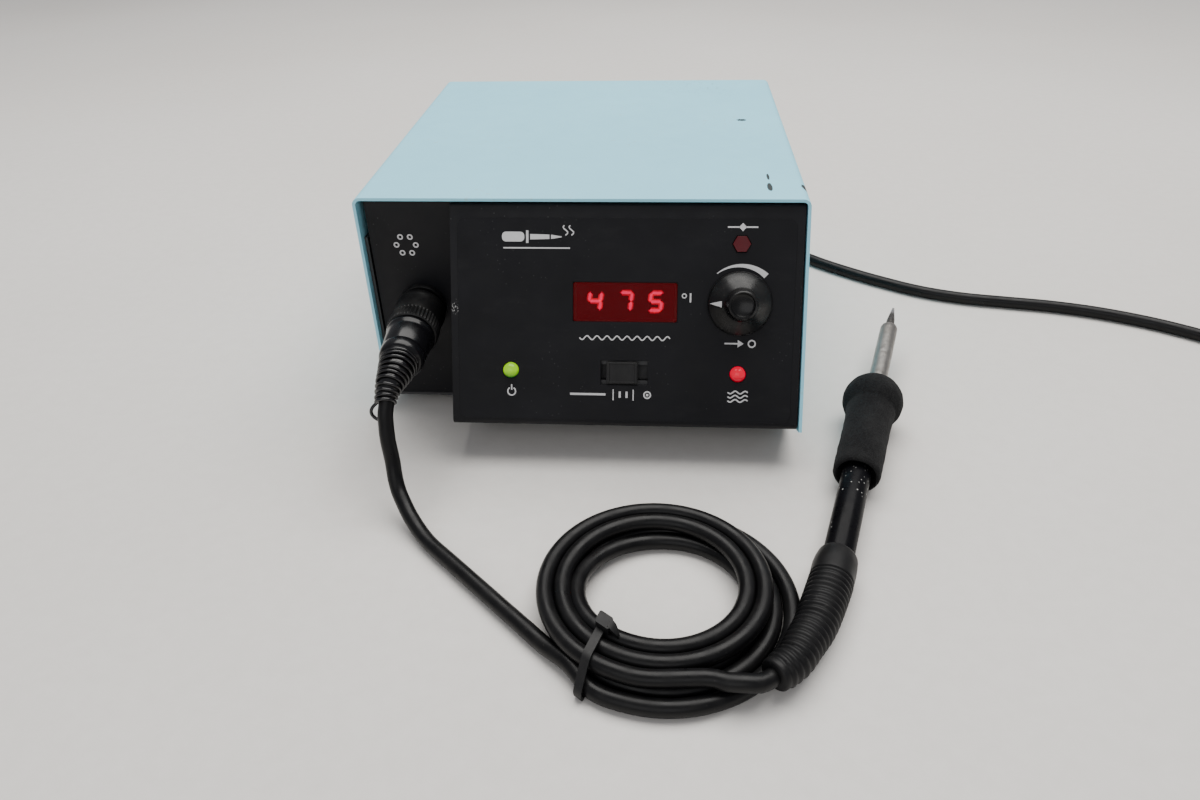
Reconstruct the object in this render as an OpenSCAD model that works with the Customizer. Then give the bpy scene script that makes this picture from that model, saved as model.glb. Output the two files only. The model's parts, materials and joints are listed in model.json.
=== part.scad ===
// Bench soldering station: sheet-steel housing with a sloped console, plug-in iron,
// the iron's tied cord and a wound mains lead. Millimetres, +Z up, bench at z = 0.

/* [Cover] */
// Width of the cover across its two sides
cover_w = 170; // [166:1:180]
// Depth of the cover from front edge to back edge
cover_d = 169; // [165:1:185]
// Height of the cover's top above the bench
cover_top = 95; // [93:1:102]
// Thickness of the cover's steel sheet
sheet = 1.2; // [1:0.1:1.5]
// Outside radius of the bends along the cover's top
cover_bend = 3; // [2:0.5:4]
// Height of the rubber feet
foot_h = 5; // [4:0.5:6]

/* [Console] */
// Lean of the console's face from vertical, in degrees
lean = 25; // [22:1:27]
// Length of the sloped face from its top to its bottom edge
face_len = 83; // [82:0.5:84]
// Left side of the console, from the middle of the cover
seam_x = -48.2; // [-50:0.2:-46]
// Thickness of the panel sheets
panel_t = 1.5; // [1.2:0.1:1.6]
// Depth of the panel's face behind the cover's rim
panel_set = 0.8; // [0.6:0.1:1]
// Thickness of the printed overlay
overlay_t = 0.4; // [0.3:0.1:0.5]

/* [Controls] */
// Width of the display window
window_w = 39; // [38:0.5:40]
// Height of the display window
window_h = 14.7; // [14:0.1:15]
// Radius of the knob's skirt
knob_r = 11.85; // [11:0.05:12.5]
// Length of the knob's pull
knob_pull = 3.5; // [3:0.5:4]
// Radius of the power and heater lights
led_r = 2.9; // [2.5:0.1:3]
// Width of the mode switch's opening
mode_w = 17.7; // [17:0.1:18.5]
// Height of the mode switch's opening
mode_h = 9.2; // [9:0.1:10]

/* [Iron] */
// Direction of the iron as it lies, in degrees from the width axis
iron_yaw = 72.7; // [72:0.1:73.5]
// Rise of the iron towards its tip, in degrees
iron_rise = 3.4; // [3:0.1:3.8]
// Radius of the grip's front ball
ball_r = 12.2; // [12:0.1:12.6]
// Radius of the grip's body behind the ball
grip_r = 9.2; // [8.8:0.1:9.6]
// Length of the grip behind the ball's middle
grip_len = 47; // [44:1:50]
// Radius of the handle's tube
tube_r = 5.2; // [5:0.1:5.4]
// Length of the tube behind the ball's middle
tube_len = 88; // [86:1:90]
// Radius of the tip's barrel
barrel_r = 3.75; // [3.5:0.05:3.9]
// Distance from the ball's middle to the tip's end
tip_reach = 75; // [72:1:78]

/* [Plug] */
// Distance of the socket left of the cover's middle
socket_x = -64.2; // [-66:0.2:-62]
// Height of the socket above the bench
socket_z = 49; // [47:1:51]
// Droop of the plug in its socket, in degrees
droop = 4.5; // [3:0.5:6]
// Radius of the plug's coupling ring
ring_r = 10; // [9.5:0.1:10.4]

/* [Cords] */
// Diameter of the iron's cord
cord_d = 5.6; // [5.2:0.1:5.8]
// Diameter of the mains lead
mains_d = 5.8; // [5.4:0.1:6]

/* [Hidden] */
$fn = 64;
eps = 0.05;

// Frame: the object's own parts, without its cords, are centred on the origin.
// Everything is first laid out from the middle of the cover's front edge.
screw_head_h = 1.8;
tip_end_r = 0.8;
boot_front_y = -145;
cap_out = 8;
ball_at = [117.2, -6.5, ball_r];
left_x = -cover_w / 2 - screw_head_h;
right_x = ball_at.x + tip_reach * cos(iron_rise) * cos(iron_yaw) + tip_end_r;
rear_y = cover_d - 2;
mid_x = (left_x + right_x) / 2;
mid_y = (boot_front_y + rear_y + cap_out) / 2;

// Housing
inner_w = cover_w - 2 * sheet;
slope_z = cover_top - cover_bend;
base_z = foot_h + 0.5;
pan_top = base_z + sheet;
play = 0.2;
recess_y = 3;
chin_y = -8;
face_right = inner_w / 2 - 0.6;
face_top = -2;
overlay_top = 4.1;
face_low = face_len - 0.8;
face_n = -panel_set;
face_back = face_n - panel_t;
chin_depth = 27;
panel_bend = 2;
foot_r = 7;
foot_places = [[-70, 18], [70, 18], [-70, 150], [70, 150]];
screw_r = 1.45;
screw_hole_r = 1.7;
cover_screw_places = [[10, 70], [150, 11.5]];
tab_h = 78;

// Places of the controls on the sloped face: across, and down from its top edge
window_at = [17.8, 34.9];
power_at = [-25.5, 61.1];
heater_at = [60.4, 61.4];
set_at = [60.4, 13.2];
knob_at = [60.2, 34.9];
mode_at = [17.8, 61.5];
slider_off = -0.85;
slider_w = 12;
set_led_r = 3.3;
nut_r = 6.2;
board_n = -9;
board_t = 1.6;
digit_pitch = 11.5;
digit_h = 7.4;
digit_w = 5;
digit_stroke = 1.05;
// Segments lit on the three digits: top, upper right, lower right, bottom, lower left, upper left, middle
lit = [[0, 1, 1, 0, 0, 1, 1], [1, 1, 1, 0, 0, 0, 0], [1, 0, 1, 1, 0, 1, 1]];

// Inside of the housing
board_z = 14;
board_at = [-8, 42];
board_size = [84, 100];
trafo_at = [-40, 112];
rear_t = 1.5;
rocker_at = [-52, 48];
rocker_in = 4;
pin_r = 1.6;
fuse_at = [-20, 62];
jack_at = [56, 30];
bushing_at = [-9, 26];
bushing_len = 30;

// Plug and its spring
socket_depth = 22;
plug_len = 38;
plug_front = recess_y - 2;
spring_pts = [
    [-64.5, -36.5, 46], [-64.5, -41, 45.5], [-65, -44.5, 44.5], [-65.5, -48, 43.5],
    [-66, -51, 41.5], [-66, -54, 39.5]
];
spring_r = [7.2, 6.7, 5.9, 5.1, 4.3, 3.8];

// The iron's boot, from the handle's tube to the cord
boot_pts = [
    [91, -91, 7], [89, -96, 7], [86.5, -103.5, 7], [82, -115, 7.5],
    [79, -122, 7.5], [75, -129, 8], [71, -135.5, 8], [65, -141, 8]
];
boot_r = [6.4, 7.1, 7.1, 6.8, 6.4, 6.0, 5.6, 5.3];

// Iron cord from the plug's spring to the coil, and from the coil to the boot
lead_pts = [
    [-65.5, -53, 40], [-66, -55.5, 36.5], [-66, -57, 33], [-65.5, -59.5, 27],
    [-64.5, -61.5, 20], [-63.5, -64.5, 14], [-62, -67.5, 10.5], [-60, -70.5, 8.5],
    [-56.5, -75.5, 6], [-52, -81, 4], [-47, -86.5, 3], [-38, -95, 3],
    [-29, -103.5, 3], [-20, -112, 3], [-11, -120.5, 3], [-2, -129, 3], [6, -136, 4]
];
tail_pts = [[64, -142, 8], [61, -144, 8.5], [57, -144.5, 9], [52, -144.5, 9], [46, -143, 8.5]];
coil_at = [33, -111];
coil_in = 20.5;
coil_out = 37.6;
coil_lift = 1.4;
coil_h = 12.2;
tie_w = 4;
tie_t = 1.2;
tie_turn = 232;

// Mains lead from the bushing round to its coil, and from the coil to the plug
mains_pts = [
    [-9, 196.5, 26], [-9, 206, 25.5], [-8.5, 216, 23], [-4.5, 227.5, 18], [3.5, 236, 12.5],
    [14.5, 240.5, 8], [26.5, 240.5, 5], [37, 235.5, 3.5], [48, 226, 3], [59, 213, 3],
    [70, 200, 3], [82, 186, 3], [94, 172, 3], [105, 159, 3], [118, 145, 3],
    [132, 133, 3], [147, 122, 3], [165, 111, 3], [184, 104, 3], [204, 100, 3],
    [225, 96, 3], [246, 89.5, 3], [266, 80, 3], [282, 69.5, 3], [293, 60.5, 3],
    [304, 51, 3.5], [315, 43.5, 5], [325, 39, 7]
];
mains_tail_pts = [[392.5, 73, 9], [392, 83, 9.5], [391, 92, 10], [389.5, 101, 11], [388, 109.5, 11.5]];
mains_coil_at = [346, 70];
mains_coil_in = 27;
mains_coil_out = 50;
mains_coil_h = 10.4;
mains_tie_turn = 135;
plug_y = 109;
plug_z = 11.5;

function arc(c, r, a, b, n = 6) = [
    for (i = [0:n]) let(t = a + (b - a) * i / n) [c.x + r * cos(t), c.y + r * sin(t)]
];
function rounded(w, h, r) = concat(
    arc([w / 2 - r, h / 2 - r], r, 0, 90),
    arc([r - w / 2, h / 2 - r], r, 90, 180),
    arc([r - w / 2, r - h / 2], r, 180, 270),
    arc([w / 2 - r, r - h / 2], r, 270, 360)
);
// Depth and height of a point on the sloped face: s down the face, n out of it
function on_face(s, n) = [-s * sin(lean) - n * cos(lean), slope_z - s * cos(lean) + n * sin(lean)];
function unit(v) = v / norm(v);
function heading(p, i) = unit(p[min(i + 1, len(p) - 1)] - p[max(i - 1, 0)]);
function ring_at(c, t, r, n) = let(side = unit(cross(t, [0, 0, 1])), over = cross(side, t)) [
    for (k = [0:n - 1]) c + r * (cos(360 * k / n) * side + sin(360 * k / n) * over)
];

module place() {
    translate([-mid_x, -mid_y, 0]) children();
}

module on_panel(at, n = 0) {
    translate([at.x, 0, slope_z]) rotate([90 - lean, 0, 0]) translate([0, -at.y, n]) children();
}

module along_y(length) {
    translate([0, length, 0]) rotate([90, 0, 0]) linear_extrude(length) children();
}

module along_x(length) {
    rotate([90, 0, 90]) linear_extrude(length) children();
}

// Lays a piece along the iron: local z runs to the tip from the ball's middle
module on_iron() {
    translate(ball_at) rotate([0, 90 - iron_rise, iron_yaw]) children();
}

// Lays a piece along the drooping plug: local z runs out of the socket
module on_plug() {
    translate([socket_x, plug_front, socket_z]) rotate([90 + droop, 0, 0]) children();
}

// A tube swept along points, with a radius for each
module sweep(pts, radii, sides = 10) {
    rings = [for (i = [0:len(pts) - 1]) each ring_at(pts[i], heading(pts, i), radii[i], sides)];
    last = (len(pts) - 1) * sides;
    walls = [
        for (i = [0:len(pts) - 2]) for (k = [0:sides - 1])
            [i * sides + k, i * sides + (k + 1) % sides, (i + 1) * sides + (k + 1) % sides, (i + 1) * sides + k]
    ];
    start = [for (k = [0:sides - 1]) sides - 1 - k];
    end = [for (k = [0:sides - 1]) last + k];
    polyhedron(points = rings, faces = concat(walls, [start], [end]));
}

module cord(pts, d) {
    sweep(pts, [for (p = pts) d / 2], 10);
}

module pan_screw(length, head_r = 2.8, head_h = 1.8) {
    cylinder(h = head_h, r = head_r);
    translate([0, 0, -length]) cylinder(h = length + eps, r = screw_r);
}

// ---- Housing ----

module cover_shell() {
    low = foot_h;
    in_r = cover_bend - sheet;
    c = [cover_w / 2 - cover_bend, cover_top - cover_bend];
    outer = concat(
        [[cover_w / 2, low]], arc(c, cover_bend, 0, 90),
        arc([-c.x, c.y], cover_bend, 90, 180), [[-cover_w / 2, low]]
    );
    inner = concat(
        [[-inner_w / 2, low]], arc([-c.x, c.y], in_r, 180, 90),
        arc(c, in_r, 90, 0), [[inner_w / 2, low]]
    );
    along_y(cover_d) polygon(concat(outer, inner));
}

module cover_wing() {
    corner = on_face(face_len, 0);
    chin = on_face(face_len, -(corner.y - foot_h) / sin(lean));
    translate([inner_w / 2, 0, 0]) along_x(sheet)
        polygon([[1, slope_z], [0, slope_z], corner, chin, [1, foot_h]]);
}

module cover() {
    color("powderblue") place() difference() {
        union() {
            cover_shell();
            cover_wing();
        }
        for (at = cover_screw_places) translate([0, at.x, at.y]) rotate([0, 90, 0])
            cylinder(h = cover_w + 2, r = screw_hole_r, center = true);
    }
}

module pan_outline() {
    w = inner_w - 2 * play;
    polygon([
        [-w / 2, recess_y], [seam_x, recess_y], [seam_x, chin_y], [w / 2, chin_y],
        [w / 2, rear_y - rear_t], [-w / 2, rear_y - rear_t]
    ]);
}

module pan_flange(side) {
    w = inner_w - 2 * play;
    at = side > 0 ? w / 2 - sheet : -w / 2;
    front = side > 0 ? chin_y : recess_y;
    translate([at, front, pan_top - eps]) cube([sheet, rear_y - rear_t - front, 12]);
    translate([at, recess_y, pan_top - eps]) cube([sheet, 15, tab_h - pan_top]);
}

module base_pan() {
    color("dimgray") place() difference() {
        union() {
            translate([0, 0, base_z]) linear_extrude(sheet) pan_outline();
            pan_flange(-1);
            pan_flange(1);
        }
        for (at = cover_screw_places) translate([0, at.x, at.y]) rotate([0, 90, 0])
            cylinder(h = cover_w, r = screw_hole_r, center = true);
        for (at = foot_places) translate([at.x, at.y, 0]) cylinder(h = 20, r = screw_hole_r);
        for (i = [0:7]) for (y = [60, 96]) translate([6 + 8 * i, y, 0]) cube([3, 24, 20]);
        for (at = board_holes()) translate([at.x, at.y, 0]) cylinder(h = 20, r = screw_hole_r);
        for (x = [-36, 36]) translate([trafo_at.x + x, trafo_at.y, 0]) cylinder(h = 20, r = screw_hole_r);
    }
}

module rear_panel() {
    w = inner_w - 2 * play;
    color("dimgray") place() difference() {
        translate([-w / 2, rear_y - rear_t, pan_top]) cube([w, rear_t, cover_top - sheet - pan_top - 1]);
        translate([rocker_at.x - 6.6, 0, rocker_at.y - 14]) cube([13.2, 200, 28]);
        translate([fuse_at.x, 0, fuse_at.y]) rotate([-90, 0, 0]) cylinder(h = 200, r = 6.2);
        translate([jack_at.x, 0, jack_at.y]) rotate([-90, 0, 0]) cylinder(h = 200, r = 4.1);
        translate([bushing_at.x, 0, bushing_at.y]) rotate([-90, 0, 0]) cylinder(h = 200, r = 6.2);
        for (i = [0:6]) translate([14 + 8 * i, 0, 52]) cube([3, 200, 28]);
    }
}

module recess_panel() {
    w = seam_x + inner_w / 2 - 2.2;
    high = cover_top - sheet - 0.7;
    color("#26282b") place() difference() {
        union() {
            translate([seam_x - w, recess_y, pan_top]) cube([w, panel_t, high - pan_top]);
            translate([seam_x - w, recess_y, high - panel_t]) cube([w, 10, panel_t]);
        }
        translate([socket_x, 0, socket_z]) rotate([-90, 0, 0]) cylinder(h = 20, r = 8.1);
    }
}

module face_openings(grow = 0) {
    translate([window_at.x, -window_at.y, 0])
        cube([window_w + 2 * grow, window_h + 2 * grow, 20], center = true);
    translate([mode_at.x, -mode_at.y, 0]) cube([mode_w + 2 * grow, mode_h + 2 * grow, 20], center = true);
    for (at = [power_at, heater_at]) translate([at.x, -at.y, -10]) cylinder(h = 20, r = led_r + 0.15 + grow);
    translate([set_at.x, -set_at.y, -10]) cylinder(h = 20, r = set_led_r + 0.15 + grow, $fn = 6);
    translate([knob_at.x, -knob_at.y, -10]) cylinder(h = 20, r = 4.6 + grow);
}

module console_sheet() {
    top_c = [face_top + panel_bend, face_n - panel_bend];
    low_c = [face_low - panel_bend, face_n - panel_bend];
    turns = [for (i = [0:6]) 90 - 15 * i];
    outer_top = [for (t = turns) on_face(top_c.x - panel_bend * sin(t), top_c.y + panel_bend * cos(t))];
    outer_low = [for (t = turns) on_face(low_c.x + panel_bend * cos(t), low_c.y + panel_bend * sin(t))];
    inner = [
        on_face(face_low, face_n - chin_depth), on_face(face_low - panel_t, face_n - chin_depth),
        on_face(face_low - panel_t, face_back), on_face(face_top + panel_t, face_back),
        on_face(face_top + panel_t, face_n - 9), on_face(face_top, face_n - 9)
    ];
    translate([seam_x, 0, 0]) along_x(face_right - seam_x) polygon(concat(outer_top, outer_low, inner));
}

module console_cheek() {
    translate([seam_x, 0, 0]) along_x(panel_t) polygon([
        on_face(face_top + 2, face_n - 1), on_face(face_low - 2, face_n - 1),
        on_face(face_low - 0.5, face_n - 3),
        on_face(face_low - 0.5, face_n - chin_depth), [chin_y - 0.4, pan_top + 0.3],
        [recess_y - eps, pan_top + 0.3], [recess_y - eps, slope_z - 2.5]
    ]);
}

module console_panel() {
    color("#1d1f22") place() difference() {
        union() {
            console_sheet();
            console_cheek();
        }
        on_panel([0, 0]) face_openings();
    }
}

module panel_overlay() {
    w = face_right - seam_x - 5.6;
    h = face_low - 2.5 - overlay_top;
    mid = [(face_right + seam_x) / 2, overlay_top + h / 2];
    color("#232427") place() on_panel([0, 0], face_n) difference() {
        translate([mid.x, -mid.y, 0]) linear_extrude(overlay_t) polygon(rounded(w, h, 3));
        face_openings(0.1);
        translate([knob_at.x, -knob_at.y, -10]) cylinder(h = 20, r = nut_r + 0.3);
    }
}

module foot(i) {
    at = foot_places[i];
    color("#202020") place() translate([at.x, at.y, 0]) rotate_extrude() polygon([
        [screw_hole_r, 2.6], [3.4, 2.6], [3.4, 0], [foot_r - 0.6, 0], [foot_r, 0.6],
        [foot_r - 0.4, base_z - eps], [screw_hole_r, base_z - eps]
    ]);
}

module cover_screws() {
    color("silver") place() for (side = [-1, 1]) for (at = cover_screw_places)
        translate([side * cover_w / 2, at.x, at.y]) rotate([0, 90 * side, 0]) pan_screw(7);
}

function board_holes() = [
    for (x = [5, board_size.x - 5]) for (y = [5, board_size.y - 5]) [board_at.x + x, board_at.y + y]
];

module chassis_screws() {
    color("silver") place() {
        for (at = foot_places) translate([at.x, at.y, 2.5]) mirror([0, 0, 1]) pan_screw(7, 2.6, 1.6);
        for (at = board_holes()) translate([at.x, at.y, board_z + board_t]) pan_screw(5, 2.6, 1.6);
        for (x = [-36, 36]) translate([trafo_at.x + x, trafo_at.y, pan_top + 1]) pan_screw(3, 2.8, 1.8);
    }
}

// ---- Display and controls ----

module display_window() {
    color("darkred") place() on_panel(window_at, face_back) linear_extrude(panel_t + overlay_t - 0.1)
        polygon(rounded(window_w - 0.2, window_h - 0.2, 0.8));
}

module display_module() {
    color("#2a1214") place() on_panel(window_at, board_n) translate([0, 0, 2.7])
        cube([window_w - 2, window_h - 1, 5.4], center = true);
}

// One segment bar, lengthwise along x, with pointed ends
module segment(length) {
    h = digit_stroke / 2;
    linear_extrude(0.25) polygon([
        [-length / 2, 0], [h - length / 2, h], [length / 2 - h, h],
        [length / 2, 0], [length / 2 - h, -h], [h - length / 2, -h]
    ]);
}

module digit(on) {
    half_w = (digit_w - digit_stroke) / 2;
    half_h = (digit_h - digit_stroke) / 2;
    bar = 2 * half_w - 0.3;
    post = half_h - 0.3;
    if (on[0]) translate([0, half_h, 0]) segment(bar);
    if (on[1]) translate([half_w, half_h / 2, 0]) rotate(90) segment(post);
    if (on[2]) translate([half_w, -half_h / 2, 0]) rotate(90) segment(post);
    if (on[3]) translate([0, -half_h, 0]) segment(bar);
    if (on[4]) translate([-half_w, -half_h / 2, 0]) rotate(90) segment(post);
    if (on[5]) translate([-half_w, half_h / 2, 0]) rotate(90) segment(post);
    if (on[6]) segment(bar);
}

module display_digits() {
    color("red") place() on_panel(window_at, board_n + 5.4) for (i = [0:2])
        translate([(i - 1) * digit_pitch, 0, 0]) digit(lit[i]);
}

module display_board() {
    color("seagreen") place() on_panel([0, 0], board_n - board_t) difference() {
        translate([-36, -74, 0]) cube([113, 68, board_t]);
        translate([knob_at.x, -knob_at.y, board_t / 2]) cube([20, 20, 10], center = true);
    }
}

module led(at, tint) {
    top = 0.9;
    n = 6;
    dome = [for (i = [0:n]) [led_r * cos(90 * i / n), top - led_r * 0.55 * (1 - sin(90 * i / n))]];
    color(tint) place() on_panel(at) rotate_extrude() polygon(concat([[0, board_n], [led_r, board_n]], dome));
}

module set_led() {
    color("#5a1a1e") place() on_panel(set_at, board_n) cylinder(h = 0.2 - board_n, r = set_led_r, $fn = 6);
}

module knob() {
    color("#141414") place() on_panel(knob_at) rotate_extrude() polygon([
        [3, 4], [7.2, 4], [7.2, 0.5], [knob_r, 0.5], [knob_r, 2], [knob_r - 0.6, 3], [7, 7.5],
        [5.9, 8.2], [5.5, 9], [5.3, 15], [4.9, 15.6], [4.3, 15.6], [4.1, 15], [4, 13.6],
        [0, 13.2], [0, 12], [3, 12]
    ]);
}

module pot_shaft() {
    color("silver") place() on_panel(knob_at) rotate_extrude() polygon([
        [0, -14.8], [4.6, -14.8], [4.6, -13.5], [2.97, -13.5], [2.97, 11.4], [2.5, 11.9], [0, 11.9]
    ]);
}

module pull_collar() {
    color("ivory") place() on_panel(knob_at) rotate_extrude()
        polygon([[3.35, -13.1], [5.4, -13.1], [5.4, -10.2], [3.35, -10.2]]);
}

module pot_body() {
    color("slategray") place() on_panel(knob_at) rotate_extrude() polygon([
        [0, -18], [8.5, -18], [8.5, face_back - 0.05], [4.4, face_back - 0.05], [4.4, 2.6], [3.05, 2.6],
        [3.05, -5], [6, -5], [6, -16], [0, -16]
    ]);
}

module pot_nut() {
    color("silver") place() on_panel(knob_at, face_n + 0.05) difference() {
        cylinder(h = 2, r = nut_r, $fn = 6);
        translate([0, 0, -1]) cylinder(h = 5, r = 4.45);
    }
}

module switch_body() {
    h = face_back - board_n - 0.1;
    color("#303030") place() on_panel(mode_at, board_n) difference() {
        translate([-13, -6.5, 0]) cube([26, 13, h]);
        translate([-10, -3, 2]) cube([20, 6, h]);
    }
}

module switch_slider() {
    color("#1b1b1b") place() on_panel([mode_at.x + slider_off, mode_at.y]) {
        translate([0, 0, -1.85]) linear_extrude(2.2) polygon(rounded(slider_w, mode_h - 0.9, 0.5));
        translate([-3, -2.2, board_n + 2.4]) cube([6, 4.4, 5.2]);
    }
}

// ---- Socket and electronics ----

module iron_socket() {
    color("#1a1a1a") place() translate([socket_x, recess_y, socket_z]) rotate([90, 0, 0]) difference() {
        rotate_extrude() polygon([
            [0, -socket_depth], [8, -socket_depth], [8, 0], [9.4, 0], [9.4, 1],
            [9, 2], [7.6, 2], [7.6, -6], [0, -6]
        ]);
        for (a = [0:60:300]) rotate(a) translate([4, 0, -10]) cylinder(h = 6, r = 0.8, $fn = 24);
    }
}

module socket_nut() {
    at = [socket_x, recess_y + panel_t, socket_z];
    color("silver") place() translate(at) rotate([-90, 0, 0]) difference() {
        cylinder(h = 2.5, r = 11.5, $fn = 6);
        translate([0, 0, -1]) cylinder(h = 5, r = 8.05);
    }
}

module main_board() {
    color("darkgreen") place() difference() {
        translate([board_at.x, board_at.y, board_z]) cube([board_size.x, board_size.y, board_t]);
        for (at = board_holes()) translate([at.x, at.y, 0]) cylinder(h = 30, r = screw_hole_r);
    }
}

module standoffs() {
    color("goldenrod") place() for (at = board_holes()) translate([at.x, at.y, pan_top]) difference() {
        cylinder(h = board_z - pan_top, r = 3.2, $fn = 6);
        translate([0, 0, -1]) cylinder(h = 20, r = 1.5);
    }
}

module chip(at, size) {
    translate([board_at.x + at.x, board_at.y + at.y, board_z + board_t]) cube(size);
}

module board_components() {
    color("#2b2b2b") place() {
        chip([14, 16], [36, 10, 4]);
        chip([14, 34], [20, 8, 4]);
        chip([60, 14], [10, 16, 12]);
        translate([board_at.x + 26, board_at.y + 62, board_z + board_t]) cylinder(h = 26, r = 9);
        translate([board_at.x + 48, board_at.y + 62, board_z + board_t]) cylinder(h = 16, r = 5.5);
        chip([66.3, 64], [4.5, 10, 16]);
    }
}

module heatsink() {
    color("#3a3a3d") place() translate([board_at.x + 71, board_at.y + 50, board_z + board_t]) {
        cube([2.5, 38, 26]);
        for (i = [0:5]) translate([2.4, 7.2 * i, 0]) cube([8, 1.6, 26]);
    }
}

module transformer_core() {
    color("gray") place() translate([trafo_at.x, trafo_at.y, pan_top]) difference() {
        translate([-28.5, -13, 0]) cube([57, 26, 47.5]);
        for (x = [-19, 9.5]) translate([x, -20, 9.5]) cube([9.5, 40, 28.5]);
    }
}

module transformer_coil() {
    color("goldenrod") place() translate([trafo_at.x, trafo_at.y, pan_top]) difference() {
        translate([-18.6, -22, 9.9]) cube([37.2, 44, 27.7]);
        translate([-9.7, -13.2, 0]) cube([19.4, 26.4, 50]);
    }
}

module transformer_bracket() {
    top = 47.7;
    side = 28.7;
    t = 1;
    color("silver") place() translate([trafo_at.x, trafo_at.y - 10, pan_top]) difference() {
        along_y(20) polygon([
            [-41, 0], [-side, 0], [-side, top], [side, top], [side, 0], [41, 0], [41, t],
            [side + t, t], [side + t, top + t], [-side - t, top + t], [-side - t, t], [-41, t]
        ]);
        for (x = [-36, 36]) translate([x, 10, -1]) cylinder(h = 4, r = screw_hole_r);
    }
}

// ---- Back of the housing ----

module power_switch_body() {
    color("#181818") place() translate([rocker_at.x, rear_y, rocker_at.y]) difference() {
        union() {
            translate([-7.6, 0, -15.6]) cube([15.2, 1.8, 31.2]);
            translate([-6.5, -20, -13.9]) cube([13, 20 + eps, 27.8]);
        }
        translate([-5.5, -13, -12.2]) cube([11, 20, 24.4]);
        translate([0, -rocker_in, 0]) rotate([0, 90, 0]) cylinder(h = 20, r = pin_r + 0.06, center = true);
    }
}

module power_rocker() {
    color("#222222") place() translate([rocker_at.x, rear_y - rocker_in, rocker_at.y]) rotate([-10, 0, 0]) {
        translate([-5.1, 0, 0]) along_x(10.2) polygon([
            [-6, -4], [1.5, -10.6], [7.6, -10.6], [5.6, 0], [7.6, 10.6], [1.5, 10.6], [-6, 4]
        ]);
        rotate([0, 90, 0]) cylinder(h = 12.6, r = pin_r, center = true);
    }
}

module fuse_holder() {
    color("#151515") place() translate([fuse_at.x, rear_y, fuse_at.y]) rotate([-90, 0, 0]) rotate_extrude()
        polygon([[0, -34], [6, -34], [6, 0], [8.2, 0], [8.2, 2], [7.6, 2.6], [4.3, 2.6], [4.3, -32], [0, -32]]);
}

module fuse_cap() {
    color("#101010") place() translate([fuse_at.x, rear_y, fuse_at.y]) rotate([-90, 0, 0]) difference() {
        rotate_extrude() polygon([
            [0, -8], [4.25, -8], [4.25, 2.9], [6.6, 2.9], [6.6, cap_out - 0.6], [6, cap_out], [0, cap_out]
        ]);
        translate([-8, -0.7, cap_out - 2]) cube([16, 1.4, 4]);
    }
}

module ground_jack() {
    color("silver") place() translate([jack_at.x, rear_y, jack_at.y]) rotate([-90, 0, 0]) rotate_extrude()
        polygon([[0, -14], [4, -14], [4, 0], [5.6, 0], [5.6, 1.6], [4.2, 2.6], [2, 2.6], [2, -12], [0, -12]]);
}

module cord_bushing() {
    color("#151515") place() translate([bushing_at.x, rear_y, bushing_at.y]) rotate([-90, 0, 0])
        rotate_extrude() polygon([
            [0, -8], [6, -8], [6, 0], [8, 0], [8, 3], [6.6, 4], [4.3, bushing_len], [0, bushing_len]
        ]);
}

// ---- Iron ----

module solder_tip() {
    flat = 0.7;
    color("lightgray") place() on_iron() intersection() {
        rotate_extrude() polygon([
            [0, 50], [2.4, 50], [2.4, 58.4], [1.9, 58.9], [1.8, 64], [tip_end_r, tip_reach], [0, tip_reach]
        ]);
        rotate([90, 0, 0]) linear_extrude(20, center = true) polygon([
            [-4, 45], [4, 45], [4, 64], [1.9, 64], [flat, tip_reach + 1],
            [-flat, tip_reach + 1], [-1.9, 64], [-4, 64]
        ]);
    }
}

module tip_barrel() {
    color("silver") place() on_iron() rotate_extrude() polygon([
        [0, -36], [2.4, -36], [2.4, 9.6], [barrel_r, 9.6], [barrel_r, 57], [barrel_r - 0.4, 57.9],
        [barrel_r - 1, 58.2], [2.45, 58.2], [2.45, 49.9], [0, 49.9]
    ]);
}

module handle_tube() {
    color("#101012") place() on_iron() rotate_extrude()
        polygon([[4, -tube_len], [tube_r, -tube_len], [tube_r, 8.8], [4, 8.8]]);
}

module handle_socket() {
    color("ivory") place() on_iron() rotate_extrude()
        polygon([[0, -48], [3.95, -48], [3.95, -2], [2.8, -2], [2.8, -37], [0, -37]]);
}

module foam_grip() {
    a0 = asin(4.3 / ball_r);
    a1 = 180 - asin((grip_r + 0.3) / ball_r);
    ball = [for (i = [0:16]) let(a = a0 + (a1 - a0) * i / 16) [ball_r * sin(a), ball_r * cos(a)]];
    color("#232323") place() on_iron() rotate_extrude() polygon(concat(ball, [
        [grip_r, -grip_len * 0.35], [grip_r - 0.5, 3 - grip_len], [grip_r - 1.4, -grip_len],
        [tube_r + 1.8, -grip_len], [tube_r + 1.2, 5 - grip_len], [tube_r + 0.05, 7 - grip_len],
        [tube_r + 0.05, 9.1], [4.3, 9.1]
    ]));
}

module cord_boot() {
    color("#161616") place() sweep(boot_pts, boot_r, 16);
}

// ---- Iron's plug and cord ----

module plug_body() {
    color("#151515") place() on_plug() rotate_extrude() polygon([
        [0, -3], [6, -3], [6, 1.6], [8.2, 1.6], [8.2, 20.4], [9.4, 20.4], [9.4, 22], [8.2, plug_len - 4],
        [7.7, plug_len], [0, plug_len]
    ]);
}

module plug_ring() {
    teeth = 36;
    color("#1c1c1c") place() on_plug() difference() {
        rotate_extrude() polygon([
            [8.25, 2.2], [ring_r - 0.5, 2.2], [ring_r, 2.7], [ring_r, 19], [ring_r - 0.6, 19.6], [8.25, 19.6]
        ]);
        for (i = [0:teeth - 1]) rotate(360 * i / teeth) translate([ring_r + 0.35, 0, 14])
            cylinder(h = 8, r = 0.6, $fn = 6);
    }
}

module plug_spring() {
    color("#121212") place() sweep(spring_pts, spring_r, 16);
}

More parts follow.
